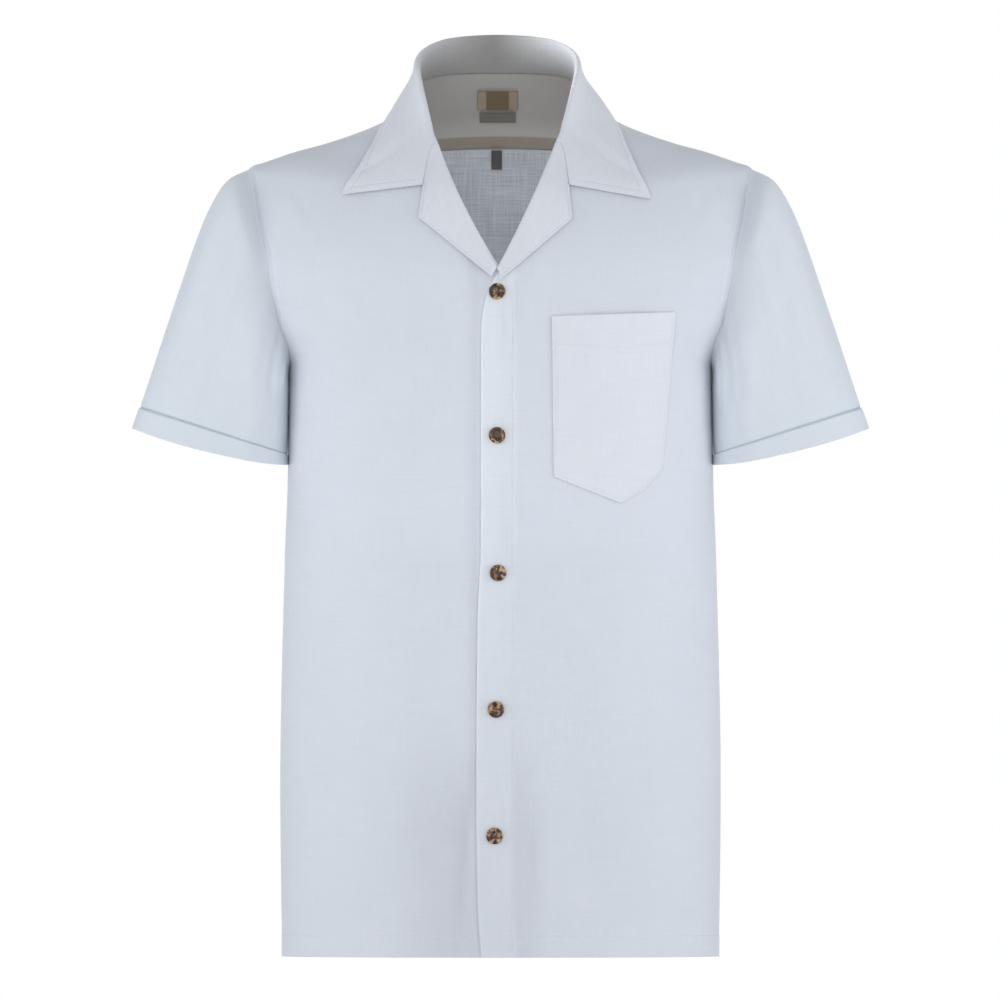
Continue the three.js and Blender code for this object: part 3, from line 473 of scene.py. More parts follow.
def cloth_object(
    name, points, grain, material, thickness,
    closed=False, outward=None, inside=None, tint=None, inner_tint=None,
):
    """A thin shell from a grid of points in mm. grain is each point's place on the flat cloth, in mm, inside
    the finish of its inner face, and the tints are what its colours are multiplied by, point by point: they
    carry painted light and shade, and a label's darker ground."""
    rows, columns = points.shape[:2]
    tints = [np.broadcast_to(1.0 if t is None else t, (rows, columns, 3)) for t in (tint, inner_tint)]
    if outward is not None and (grid_normals(points, closed) * outward).sum() < 0:
        points, grain, tints = points[::-1], grain[::-1], [t[::-1] for t in tints]
    wide = columns if closed else columns - 1

    def quads(run, wrap):
        """The corners of each face of a grid whose rows hold run points."""
        low = (np.arange(rows - 1)[:, None] * run + np.arange(wide)).ravel()
        right = (np.arange(rows - 1)[:, None] * run + (np.arange(wide) + 1) % wrap).ravel()
        return np.stack([low, right, right + run, low + run], axis=1)

    faces = quads(columns, columns)
    mesh = bpy.data.meshes.new(name)
    mesh.from_pydata((points.reshape(-1, 3) * MM).tolist(), [], faces.tolist())
    corners = quads(grain.shape[1], wide + 1).ravel()
    mesh.uv_layers.new(name="grain").data.foreach_set("uv", (grain.reshape(-1, 2)[corners] * MM).ravel())
    mesh.polygons.foreach_set("use_smooth", np.ones(len(faces), bool))
    for key, values in zip(("tint", "inner_tint"), tints):
        four = np.concatenate([values, np.ones((rows, columns, 1))], axis=-1)
        mesh.attributes.new(key, "FLOAT_COLOR", "POINT").data.foreach_set("color", four.ravel())
    mesh.materials.append(material)
    mesh.update()
    piece = placed(name, mesh)
    shell = piece.modifiers.new("thickness", "SOLIDIFY")
    shell.thickness = thickness * MM
    shell.offset = -1
    if inside:
        mesh.materials.append(inside)
        shell.material_offset = 1
    return piece


def added(nodes, kind, **values):
    """A new node, with constant values on the sockets that are named."""
    node = nodes.new(kind)
    for socket, value in values.items():
        node.inputs[socket.replace("_", " ")].default_value = value
    return node


def blended(nodes, links, a, b, share, kind="MIX"):
    """A colour between two others by a share, or with kind MULTIPLY their product. a, b and share may be
    sockets, and share may be a number."""
    node = nodes.new("ShaderNodeMix")
    node.data_type, node.blend_type, node.clamp_factor = "RGBA", kind, True
    if isinstance(share, bpy.types.NodeSocket):
        links.new(share, node.inputs[0])
    else:
        node.inputs[0].default_value = share
    links.new(a, node.inputs[6])
    links.new(b, node.inputs[7])
    return node.outputs[2]


# Linen: plain weave of uneven flax yarn, so thick and thin threads run both ways as faint streaks. In
# metres, how far a warp and a weft yarn run before they change their thickness.
WARP_RUN, WEFT_RUN = 0.035, 0.028


def linen_weave():
    """A plain weave's colour and height, from the grain map in metres."""
    group = bpy.data.node_groups.new("linen_weave", "ShaderNodeTree")
    face = group.interface
    for name, kind, value in (
        ("Pale", "NodeSocketColor", (0.7, 0.7, 0.7, 1)),
        ("Deep", "NodeSocketColor", (0.5, 0.5, 0.5, 1)),
        ("Tint", "NodeSocketColor", (1, 1, 1, 1)),
        ("Slub", "NodeSocketFloat", 1.0),
        ("Yarn", "NodeSocketFloat", 0.0008),
    ):
        face.new_socket(name, in_out="INPUT", socket_type=kind).default_value = value
    face.new_socket("Color", in_out="OUTPUT", socket_type="NodeSocketColor")
    face.new_socket("Height", in_out="OUTPUT", socket_type="NodeSocketFloat")
    nodes, links = group.nodes, group.links
    given, given_out = nodes.new("NodeGroupInput"), nodes.new("NodeGroupOutput")
    grain = nodes.new("ShaderNodeUVMap")
    grain.uv_map = "grain"

    def maths(operation, a, b=None, c=None):
        node = nodes.new("ShaderNodeMath")
        node.operation = operation
        for socket, value in zip(node.inputs, (a, b, c)):
            if isinstance(value, bpy.types.NodeSocket):
                links.new(value, socket)
            elif value is not None:
                socket.default_value = value
        return node.outputs[0]

    apart = nodes.new("ShaderNodeSeparateXYZ")
    links.new(grain.outputs[0], apart.inputs[0])
    across, along = apart.outputs[0], apart.outputs[1]
    per_yarn = maths("DIVIDE", 1.0, given.outputs["Yarn"])

    def yarns(thin, lengthways, run, offset):
        """Noise drawn out along one way of the cloth: short across a yarn, long down it."""
        place = nodes.new("ShaderNodeCombineXYZ")
        links.new(maths("MULTIPLY", thin, per_yarn), place.inputs[0])
        links.new(maths("MULTIPLY", lengthways, 1 / run), place.inputs[1])
        place.inputs[2].default_value = offset
        noise = added(nodes, "ShaderNodeTexNoise", Scale=1.0, Detail=2.0, Roughness=0.6)
        links.new(place.outputs[0], noise.inputs["Vector"])
        return noise.outputs[0]

    warp, weft = yarns(across, along, WARP_RUN, 3.1), yarns(along, across, WEFT_RUN, 8.7)
    streaks = maths("ADD", maths("MULTIPLY", warp, 0.5), maths("MULTIPLY", weft, 0.5))
    cloud = added(nodes, "ShaderNodeTexNoise", Scale=14.0, Detail=3.0)
    links.new(grain.outputs[0], cloud.inputs["Vector"])
    tone = maths("ADD", maths("MULTIPLY", streaks, 0.8), maths("MULTIPLY", cloud.outputs[0], 0.2))
    centred = maths("MULTIPLY", maths("SUBTRACT", tone, 0.5), given.outputs["Slub"])
    share = maths("ADD", maths("MULTIPLY", centred, 3.0), 0.5)
    plain = blended(nodes, links, given.outputs["Deep"], given.outputs["Pale"], share)
    turns = maths("MULTIPLY", per_yarn, math.pi)
    waves = [maths("SINE", maths("MULTIPLY", way, turns)) for way in (across, along)]
    over = maths("MULTIPLY", *waves)
    height = maths("ADD", maths("MULTIPLY", over, 0.25), maths("MULTIPLY", streaks, 1.2))
    tinted = blended(nodes, links, plain, given.outputs["Tint"], 1.0, "MULTIPLY")
    links.new(tinted, given_out.inputs["Color"])
    links.new(height, given_out.inputs["Height"])
    return group


weave = linen_weave()


def new_finish(name, **values):
    """A material, its nodes and links, and its surface with constant values on the named sockets."""
    material = bpy.data.materials.new(name)
    material.use_nodes = True
    nodes, links = material.node_tree.nodes, material.node_tree.links
    surface = nodes["Principled BSDF"]
    for socket, value in values.items():
        surface.inputs[socket.replace("_", " ")].default_value = value
    return material, nodes, links, surface


YARN, YARN_DEPTH = 0.0008, 0.0004


def linen(name, pale, deep, slub=1.0, shows_through=0.12, yarn=YARN, bump=0.35, tint="tint"):
    """A cloth finish: pale and deep are its thick and thin yarns, shows_through how much light it lets by."""
    material, nodes, links, surface = new_finish(
        name, Roughness=0.88, Specular_IOR_Level=0.3, Sheen_Weight=0.12, Sheen_Roughness=0.5
    )
    cloth = nodes.new("ShaderNodeGroup")
    cloth.node_tree = weave
    for socket, value in (("Pale", (*pale, 1)), ("Deep", (*deep, 1)), ("Slub", slub), ("Yarn", yarn)):
        cloth.inputs[socket].default_value = value
    shade = nodes.new("ShaderNodeAttribute")
    shade.attribute_name = tint
    links.new(shade.outputs["Color"], cloth.inputs["Tint"])
    lie = added(nodes, "ShaderNodeBump", Strength=bump, Distance=YARN_DEPTH)
    links.new(cloth.outputs["Color"], surface.inputs["Base Color"])
    links.new(cloth.outputs["Height"], lie.inputs["Height"])
    links.new(lie.outputs["Normal"], surface.inputs["Normal"])
    if shows_through:
        behind, both = nodes.new("ShaderNodeBsdfTranslucent"), nodes.new("ShaderNodeMixShader")
        links.new(cloth.outputs["Color"], behind.inputs["Color"])
        both.inputs[0].default_value = shows_through
        links.new(surface.outputs[0], both.inputs[1])
        links.new(behind.outputs[0], both.inputs[2])
        links.new(both.outputs[0], nodes["Material Output"].inputs["Surface"])
    return material


body_linen = linen("body_linen", (0.74, 0.765, 0.82), (0.64, 0.675, 0.735), slub=0.5)
body_inside = linen(
    "body_linen_inside", (0.89, 0.905, 0.915), (0.6, 0.62, 0.645),
    slub=1.5, shows_through=0.4, tint="inner_tint",
)
PLAIN = np.ones(3)
# How strong the painted highlight on the band's doubled cloth is, its share of that at three heights, and
# where it ends above.
BAND_PAINTED_HIGHLIGHT = np.array([1.12, 1.12, 1.1])
BAND_HIGHLIGHT_SHARE, BAND_HIGHLIGHT_TOP = ((-720, -470, -330), (0, 0.4, 1)), (-150, -128)
BODY_WALL = 0.5


# Sewing thread: short rounded stitches laid along a line, made once as a tree that all the seams use.
def stitch_tree():
    """Beads drawn out to stitches, one at every pitch along the given lines."""
    tree = bpy.data.node_groups.new("row_of_stitches", "GeometryNodeTree")
    face = tree.interface
    face.new_socket("Line", in_out="INPUT", socket_type="NodeSocketGeometry")
    for name, value in (("Pitch", 0.003), ("Length", 0.0022), ("Thread", 0.00045)):
        face.new_socket(name, in_out="INPUT", socket_type="NodeSocketFloat").default_value = value
    face.new_socket("Finish", in_out="INPUT", socket_type="NodeSocketMaterial")
    face.new_socket("Stitches", in_out="OUTPUT", socket_type="NodeSocketGeometry")
    nodes, links = tree.nodes, tree.links
    given, made = nodes.new("NodeGroupInput"), nodes.new("NodeGroupOutput")
    line, even = nodes.new("GeometryNodeMeshToCurve"), nodes.new("GeometryNodeResampleCurve")
    even.mode = "LENGTH"
    links.new(given.outputs["Line"], line.inputs[0])
    links.new(line.outputs[0], even.inputs["Curve"])
    links.new(given.outputs["Pitch"], even.inputs["Length"])
    bead, shaped = nodes.new("GeometryNodeMeshIcoSphere"), nodes.new("GeometryNodeTransform")
    bead.inputs["Radius"].default_value, bead.inputs["Subdivisions"].default_value = 0.5, 1
    size = nodes.new("ShaderNodeCombineXYZ")
    links.new(given.outputs["Length"], size.inputs[0])
    links.new(given.outputs["Thread"], size.inputs[1])
    links.new(given.outputs["Thread"], size.inputs[2])
    links.new(bead.outputs[0], shaped.inputs["Geometry"])
    links.new(size.outputs[0], shaped.inputs["Scale"])
    way, turn = nodes.new("GeometryNodeInputTangent"), nodes.new("FunctionNodeAlignRotationToVector")
    turn.axis = "X"
    links.new(way.outputs[0], turn.inputs["Vector"])
    laid = nodes.new("GeometryNodeInstanceOnPoints")
    links.new(even.outputs[0], laid.inputs["Points"])
    links.new(shaped.outputs[0], laid.inputs["Instance"])
    links.new(turn.outputs[0], laid.inputs["Rotation"])
    real, smooth = nodes.new("GeometryNodeRealizeInstances"), nodes.new("GeometryNodeSetShadeSmooth")
    finish = nodes.new("GeometryNodeSetMaterial")
    links.new(laid.outputs[0], real.inputs[0])
    links.new(real.outputs[0], smooth.inputs[0])
    links.new(smooth.outputs[0], finish.inputs["Geometry"])
    links.new(given.outputs["Finish"], finish.inputs["Material"])
    links.new(finish.outputs[0], made.inputs[0])
    return tree


sewing = stitch_tree()


def thread_finish(name, colour):
    """Twisted thread, a little darker between its turns."""
    material, nodes, links, surface = new_finish(name, Roughness=0.6)
    place, twist = nodes.new("ShaderNodeTexCoord"), added(nodes, "ShaderNodeTexNoise", Scale=900.0)
    links.new(place.outputs["Object"], twist.inputs["Vector"])
    shade = nodes.new("ShaderNodeValToRGB")
    shade.color_ramp.elements[0].color = (*[0.82 * c for c in colour], 1)
    shade.color_ramp.elements[1].color = (*colour, 1)
    links.new(twist.outputs[0], shade.inputs[0])
    links.new(shade.outputs[0], surface.inputs["Base Color"])
    return material


pale_thread = thread_finish("pale_thread", (0.74, 0.76, 0.8))


def sewn(name, lines, finish=pale_thread, pitch=3.0, length=2.3, thread=0.42):
    """One piece of stitches along several lines of points, in mm."""
    mesh = bpy.data.meshes.new(name + "_lines")
    points, edges = [], []
    for line in lines:
        first = len(points)
        points += (np.asarray(line) * MM).tolist()
        edges += [(first + k, first + k + 1) for k in range(len(line) - 1)]
    mesh.from_pydata(points, edges, [])
    guide = placed(name + "_lines", mesh)
    row = guide.modifiers.new("stitches", "NODES")
    row.node_group = sewing
    given = {"Pitch": pitch * MM, "Length": length * MM, "Thread": thread * MM, "Finish": finish}
    for item in sewing.interface.items_tree:
        if item.name in given:
            row[item.identifier] = given[item.name]
    made = bpy.data.meshes.new_from_object(guide.evaluated_get(bpy.context.evaluated_depsgraph_get()))
    bpy.data.objects.remove(guide)
    piece = placed(name, made)
    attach(piece, "root")
    return piece


THREAD_LIFT = 0.12


def underlap_depth(x, z):
    """How far the right front goes down below the plain surface, to make room for the left one on it."""
    return UNDERLAP_DROP * (1 - step(z, *UNDERLAP_TOP)) * step(x, UNDERLAP_START, UNDERLAP_END)


def front_height(name, x, z, to_side, row):
    """What lies over or under the plain cloth of a front: its band or underlap, and its seams."""
    if name == "left":
        below = 1 - step(z, *BAND_TOP)
        height = BAND_RISE * below * (1 - step(x, BAND_STITCH_X + 0.2, BAND_STITCH_X + 1.3))
        height = height + dip(x - BAND_STITCH_X + BAND_STITCH, 0.35, 0.8) * below
    else:
        height = -underlap_depth(x, z)
    return height + seam_height(to_side) * step(row, -1, 1)


# Beside the band's edge: how strong the painted highlight on each front is there and how far out it reaches,
# then how strong the painted shade is low down, round which x and how far out. After that, the heights
# between which both come and go.
BAND_EDGE_LIGHT_AND_SHADE = {"left": (0.07, 1.8, 0.09, 17, 14), "right": (0.15, 3.6, 0.095, -48, 34)}
EDGE_HIGHLIGHT_FROM, EDGE_HIGHLIGHT_TO, LOW_SHADE_TO = (-620, -540), (-152, -142), (-640, -520)


def painted_light_at_band(name, x, z):
    """Painted highlight along the band's edge and on the cloth next to it; low down, painted shade on both
    sides.
    """
    pale, highlight_reach, dark, shade_x, shade_reach = BAND_EDGE_LIGHT_AND_SHADE[name]
    past_edge = x - front_edge["left"](np.minimum(z, OPENING_FOOT["left"][1]))
    # pale is the painted highlight and dark the painted shade.
    pale = pale * bell(past_edge / highlight_reach) * step(z, *EDGE_HIGHLIGHT_FROM) * (1 - step(z, *EDGE_HIGHLIGHT_TO))
    dark = dark * bell((x - shade_x) / shade_reach) * (1 - step(z, *LOW_SHADE_TO))
    if name == "left":
        # The band itself gets no painted shade: it starts outside the stitches.
        dark = dark * step(x, BAND_STITCH_X, BAND_STITCH_X + 1.5)
    return 1 + pale - dark


# Where a panel has columns beside its seam and rows just above the underarm, and how many rows and
# columns a front has: round the armhole, along the shoulder, and across between its edges.
BESIDE_SEAM = np.concatenate([np.arange(0, 8.5, 0.7), [10, 12]])
PAST_UNDERARM = SIDE_ROWS + np.array([0.03, 0.06, 0.1])
FRONT_ARM_ROWS, FRONT_RIDGE_ROWS, FRONT_COLUMNS = 78, 46, 46
FRONT_ROW_GAP, BAND_COLUMN_GAP, COLUMNS_TO = 3.6, 2.4, 29
# How many rows below the middle of the armhole the stitches of the band end.
BAND_STITCHES_END = 1.2


def rows_to_underarm(wide):
    """The rows of a panel along its side seam, close together at the hem's stitches."""
    return spaced((0, HEM_TURN, UNDERARM_STATION), wide) * SIDE_ROWS / UNDERARM_STATION


def front(name):
    """A front's shell, the points and normals of its outer face, its rows, and how far the side seam is."""
    row = np.concatenate(
        [
            rows_to_underarm(FRONT_ROW_GAP),
            PAST_UNDERARM,
            np.linspace(SIDE_ROWS, SHOULDER_ROW, FRONT_ARM_ROWS)[1:],
            np.linspace(SHOULDER_ROW, FRONT_ROWS, FRONT_RIDGE_ROWS)[1:],
        ]
    )
    # Columns are close together over the band, and over the drop of the underlap.
    if name == "left":
        near = spaced((0, COLUMNS_TO), BAND_COLUMN_GAP)
    else:
        near = np.concatenate([spaced((0, 4), 2), np.arange(6, 44, 2.5)])

    def place(rows, t):
        return front_place(name, rows, t)

    t, distance = columns_by_distance(place, row, near, FRONT_COLUMNS, BESIDE_SEAM)
    station, angle = place(row, t)
    points = cloth_point(station, angle)
    normal = outwards(cloth_point, station, angle)
    to_side = distance[:, -1:] - distance
    height = front_height(name, points[..., 0], points[..., 2], to_side, row[:, None]) + hem_height(station)
    outer = points + normal * height[..., None]
    across = points[:, :1, 0] * SIDES[name] + distance
    grain = np.stack([across, np.broadcast_to(station, distance.shape)], axis=-1)
    x, z = points[..., 0], points[..., 2]
    # Painted light and shade: highlights beside the band and along the seams, shade low beside the band, over
    # the shoulders and towards the hem.
    light = painted_light_at_band(name, x, z) * painted_height_shade(z) * painted_seam_highlight(to_side)
    tint = np.broadcast_to(light[..., None], points.shape)
    if name == "left":
        # Painted highlight on the band's doubled cloth, strongest in its upper part and near its edge.
        band_highlight = 1 - step(x, BAND_STITCH_X + 0.3, BAND_STITCH_X + 2.3)
        band_highlight = band_highlight * np.interp(z, *BAND_HIGHLIGHT_SHARE) * (1 - step(z, *BAND_HIGHLIGHT_TOP))
        tint = tint * mix(PLAIN, BAND_PAINTED_HIGHLIGHT, (band_highlight * (1 - 0.3 * step(x, -8, 4)))[..., None])
    piece = cloth_object(
        "cloth_front_" + name, outer, grain, body_linen, BODY_WALL,
        outward=normal, inside=body_inside, tint=tint,
    )
    return piece, outer, normal, row, to_side


def along_surface(points, normal, key, want):
    """The line on a grid where a key that rises along each row has one value."""
    line = []
    for k in range(len(points)):
        i = int(np.clip(np.searchsorted(key[k], want), 1, points.shape[1] - 1))
        t = np.clip((want - key[k][i - 1]) / (key[k][i] - key[k][i - 1]), 0, 1)
        line.append(mix(points[k, i - 1], points[k, i], t) + THREAD_LIFT * normal[k, i])
    return np.array(line)


def along_seams(outer, normal, to_side, armhole, side_seam, sign):
    """The stitches of a panel's armhole and side seam. sign is 1 where to_side grows along the rows."""
    return [
        along_surface(outer[rows], normal[rows], sign * to_side[rows], sign * inset)
        for rows, inset in ((armhole, SEAM_FELL), (side_seam, SIDE_STITCH))
    ]


def nearest(values, want):
    return int(np.argmin(np.abs(values - want)))


def along_row(outer, normal, at):
    return outer[at] + THREAD_LIFT * normal[at]


def along_hem(outer, normal, row):
    """The stitches of a turned hem, along the row that is nearest to them."""
    return along_row(outer, normal, nearest(row, (HEM_TURN - HEM_STITCH) * SIDE_ROWS / UNDERARM_STATION))


for name in SIDES:
    piece, outer, normal, row, to_side = front(name)
    lines = along_seams(
        outer, normal, to_side, (row >= SIDE_ROWS) & (row <= SHOULDER_ROW), row <= SIDE_ROWS, -1
    )
    lines.append(along_hem(outer, normal, row))
    if name == "left":
        banded = row <= MIDDLE_ROW - BAND_STITCHES_END
        across = outer[banded][..., 0]
        lines.append(along_surface(outer[banded], normal[banded], across, BAND_STITCH_X - BAND_STITCH))
    stitches = sewn("stitches_front_" + name, lines)
    stand_for(piece, "front_" + name)


# The back and the yoke.
# The back is one panel up to the yoke seam; the yoke is a doubled piece over the shoulder blades, felled
# down on the back and set into the collar above.
BACK_ROWS = SHOULDER_ROW - 3
YOKE_FELL, YOKE_RISE, YOKE_WALL = 6.0, 0.5, 0.9
UNDERARM_LIFT = 30.0
BACK_ROW_GAP, BACK_ARM_ROWS, YOKE_ROWS, BACK_COLUMNS = 3.8, 60, 60, 116
yoke_linen = linen("yoke_linen", (0.72, 0.74, 0.79), (0.62, 0.65, 0.71), slub=0.5, shows_through=0.03)
# The yoke's inside is a darker, warmer copy of its linen: painted shade inside the neck.
yoke_inside_painted_shade = linen(
    "yoke_inside_painted_shade", (0.465, 0.44, 0.412), (0.425, 0.4, 0.372),
    slub=0.8, shows_through=0.0, tint="inner_tint",
)
# On the inside the yoke's edge is turned up over the back seam, where a warmer and darker strip of painted
# shade lies, and the cloth next to the collar gets painted shade from the collar.
TURNED_UP, TURNED_UP_SHADE = (23.0, 28.0), np.array([0.7, 0.64, 0.575])
NEAR_COLLAR, NEAR_COLLAR_SHADE = (25.0, 75.0), np.array([0.8, 0.8, 0.8])


def back_place(row, t):
    """The station and angle of the back and yoke: rows leave both sides and dip to the middle."""
    side_station, side_angle = side_place(row, 1)
    low = side_station + UNDERARM_LIFT * step(side_station, UNDERARM_STATION / 2, UNDERARM_STATION)
    high_rows = (SIDE_ROWS, BACK_ROWS, FRONT_ROWS)
    high = np.interp(row, high_rows, (UNDERARM_STATION + UNDERARM_LIFT, YOKE_STATION, NECK_STATION))
    middle = np.where(row < SIDE_ROWS, low, high)
    sharpness = 2 + 3 * (1 - step(row, SIDE_ROWS + 2, BACK_ROWS - 2))
    inwards = 1 - np.abs(2 * t - 1) ** sharpness[:, None]
    angle = side_angle[:, None] + 2 * (90 - side_angle[:, None]) * t
    return mix(side_station[:, None], middle[:, None], inwards), angle


def back_sheet(name, row, material, wall, seam_fold, inside, inner_tint=None):
    """A panel behind. seam_fold is each row's rise from the fold and stitches of the yoke seam."""
    t, distance = columns_by_distance(back_place, row, BESIDE_SEAM, BACK_COLUMNS, BESIDE_SEAM)
    station, angle = back_place(row, t)
    points = cloth_point(station, angle)
    normal = outwards(cloth_point, station, angle)
    to_side = np.minimum(distance, distance[:, -1:] - distance)
    height = seam_height(to_side) + hem_height(station) + seam_fold[:, None]
    outer = points + normal * height[..., None]
    grain = np.stack([distance - distance[:, -1:] / 2, np.broadcast_to(station, distance.shape)], axis=-1)
    shade = None if inner_tint is None else inner_tint[:, None]
    # Painted shade over the shoulders and towards the hem, and painted highlights along the seams.
    tint = (painted_height_shade(points[..., 2]) * painted_seam_highlight(to_side))[..., None]
    piece = cloth_object(
        name, outer, grain, material, wall, outward=normal, inside=inside, tint=tint, inner_tint=shade
    )
    middle = outer.shape[1] // 2
    halves = [
        (outer[:, half], normal[:, half], to_side[:, half], sign)
        for half, sign in ((slice(0, middle), 1), (slice(middle, None), -1))
    ]
    return piece, outer, normal, halves


back_row = np.concatenate(
    [
        rows_to_underarm(BACK_ROW_GAP),
        PAST_UNDERARM,
        np.linspace(SIDE_ROWS, BACK_ROWS - 0.3, BACK_ARM_ROWS)[1:],
        BACK_ROWS - np.array([0.2, 0.14, 0.09, 0.05, 0.02, 0]),
    ]
)
row_step = (YOKE_STATION - UNDERARM_STATION) / (BACK_ROWS - SIDE_ROWS)
seam_dip = dip((BACK_ROWS - back_row) * row_step, 0.7, 1.0)
back_piece, outer, normal, halves = back_sheet(
    "cloth_back", back_row, body_linen, BODY_WALL, seam_dip, body_inside
)
lines = []
armhole = back_row >= SIDE_ROWS
for half_outer, half_normal, to_side, sign in halves:
    lines += along_seams(half_outer, half_normal, to_side, armhole, ~armhole, sign)
lines.append(along_hem(outer, normal, back_row))
back_stitches = sewn("stitches_back", lines)
stand_for(back_piece, "back")

yoke_row = np.concatenate(
    [
        BACK_ROWS + np.array([0, 0.02, 0.05, 0.1, 0.2, 0.3, 0.38, 0.46, 0.54, 0.62]),
        np.linspace(BACK_ROWS + 0.75, FRONT_ROWS, YOKE_ROWS),
    ]
)
yoke_step = (NECK_STATION - YOKE_STATION) / (FRONT_ROWS - BACK_ROWS)
from_seam = (yoke_row - BACK_ROWS) * yoke_step
seam_fold = YOKE_RISE * (1 - step(from_seam, YOKE_FELL + 0.5, YOKE_FELL + 2.5)) + dip(from_seam, 0.9, 0.8)
seam_fold = seam_fold + dip(from_seam - YOKE_FELL, 0.3, 1.2)
# Painted shade on the yoke's inside: a darker strip over its turned-up edge, and shade next to the collar.
turned_up = 1 - step(from_seam, *TURNED_UP)
inner_shade = mix(PLAIN, NEAR_COLLAR_SHADE, step(from_seam, *NEAR_COLLAR)[:, None])
inner_shade = mix(inner_shade, TURNED_UP_SHADE, turned_up[:, None])
yoke_piece, outer, normal, halves = back_sheet(
    "cloth_yoke", yoke_row, yoke_linen, YOKE_WALL, seam_fold, yoke_inside_painted_shade, inner_shade
)
lines = []
for half_outer, half_normal, to_side, sign in halves:
    lines.append(along_surface(half_outer, half_normal, sign * to_side, sign * SEAM_FELL))
lines.append(along_row(outer, normal, nearest(from_seam, YOKE_FELL)))
yoke_stitches = sewn("stitches_yoke", lines)
stand_for(yoke_piece, "yoke")


# The sleeves.
# Short set-in sleeves of the same linen, each one piece closed by an underarm seam, felled into the
# armhole and finished with a turned-up hem.

# Rings down the sleeve: x and z of its outer and inner side, depth in front and behind, sag of the middle.
SLEEVE_RINGS = (
    (239, -62, 186.7, -238, 61, 63, 0),
    (256, -87, 186.4, -246, 63, 65, 0),
    (267, -113, 186.5, -254, 64, 66, 0),
    (276.5, -140, 186.7, -262, 63, 65, 0),
    (298, -204, 187.0, -284, 59, 61, 1.5),
    (317.6, -263, 187.3, -296, 53, 54, 5),
    (324.3, -282, 188.0, -314, 51, 52, 5),
)
SLEEVE_SQUARENESS = {"outer": 0.92, "inner": 0.64}
SLEEVE_TURNS = np.arange(0, 360, 360 / 168)
CUFF_DEPTH, CUFF_RISE = 18.0, 0.8
# How far the sleeve's seam edge runs on under the body cloth, and how far below its face.
SLEEVE_TUCK, TUCK_DEPTH = (2.4, 1.2, 0.3), 1.15
# The last of these is the strength of the painted light where the sleeve turns in towards the body.
SLEEVE_THREAD_LIFT, UNDERARM_TURN, TURNED_IN_PAINTED_LIGHT = 0.22, 180.0, 0.12
# Painted shadow in the groove of the hem's stitch line.
HEM_GROOVE_SHADOW = np.array([0.62, 0.66, 0.68])
# The x and z of both ends of the hem's stitch line, which shows straight from the front.
HEM_LINE = ((318.6, -263.1), (188.3, -304.5))
sleeve_linen = linen("sleeve_linen", (0.73, 0.775, 0.825), (0.645, 0.69, 0.745), slub=0.55)

# Creases of a sleeve: turn round the arm and share of the way down for both ends, half width in degrees,
# rise. Turn 0 is the shoulder point, 90 the front, 180 the underarm and 270 the back.
SLEEVE_CREASES = (
    (62, 0.02, 70, 0.62, 13, -1.6),
    (92, 0.0, 104, 0.75, 12, 1.7),
    (118, 0.03, 128, 0.66, 10, -1.5),
    (140, 0.04, 146, 0.5, 9, 1.2),
    (34, 0.05, 44, 0.7, 14, 1.4),
    (12, 0.1, 20, 0.8, 12, -0.9),
    (80, 0.5, 84, 1.1, 12, -0.9),
    (112, 0.6, 110, 1.1, 12, 0.8),
    (296, 0.02, 288, 0.66, 13, -1.6),
    (266, 0.0, 256, 0.72, 12, 1.6),
    (240, 0.04, 232, 0.7, 10, -1.5),
    (218, 0.05, 212, 0.5, 9, 1.1),
    (326, 0.05, 316, 0.7, 13, 1.3),
)


def round_armhole(turn):
    """The stations and angles all round the armhole, down the front and up the back."""
    station, angle = armhole_place(np.where(turn <= 180, turn, 360 - turn), 1)
    return station, np.where(turn <= 180, -1, 1) * angle


def sleeve_points(turn, down):
    """A sleeve on the wearer's left: turn runs round the arm, down from 0 at the armhole to 1 at the edge."""
    seam = cloth_point(*round_armhole(turn))
    up, along = np.cos(np.radians(turn)), np.sin(np.radians(turn))
    square = np.where(up > 0, SLEEVE_SQUARENESS["outer"], SLEEVE_SQUARENESS["inner"])
    rings = [seam]
    for out_x, out_z, in_x, in_z, front_depth, back_depth, sag in SLEEVE_RINGS:
        across = (1 + np.sign(up) * np.abs(up) ** square) / 2
        depth = np.where(along > 0, front_depth, back_depth)
        y = -depth * np.sign(along) * np.abs(along) ** square
        z = mix(in_z, out_z, across) - sag * along**2
        rings.append(np.stack([mix(in_x, out_x, across), y, z], axis=-1))
    rings = np.array(rings)
    lengths = np.linalg.norm(np.diff(rings, axis=0), axis=2)
    mean = np.concatenate([[0], np.cumsum(lengths.mean(axis=1))])
    points = np.empty((len(down), len(turn), 3))
    for k in range(len(turn)):
        run = np.concatenate([[0], np.cumsum(lengths[:, k])])
        where = through(mean, run)(down * mean[-1])
        for axis in range(3):
            points[:, k, axis] = through(run, rings[:, k, axis])(where)
    return points, mean[-1]


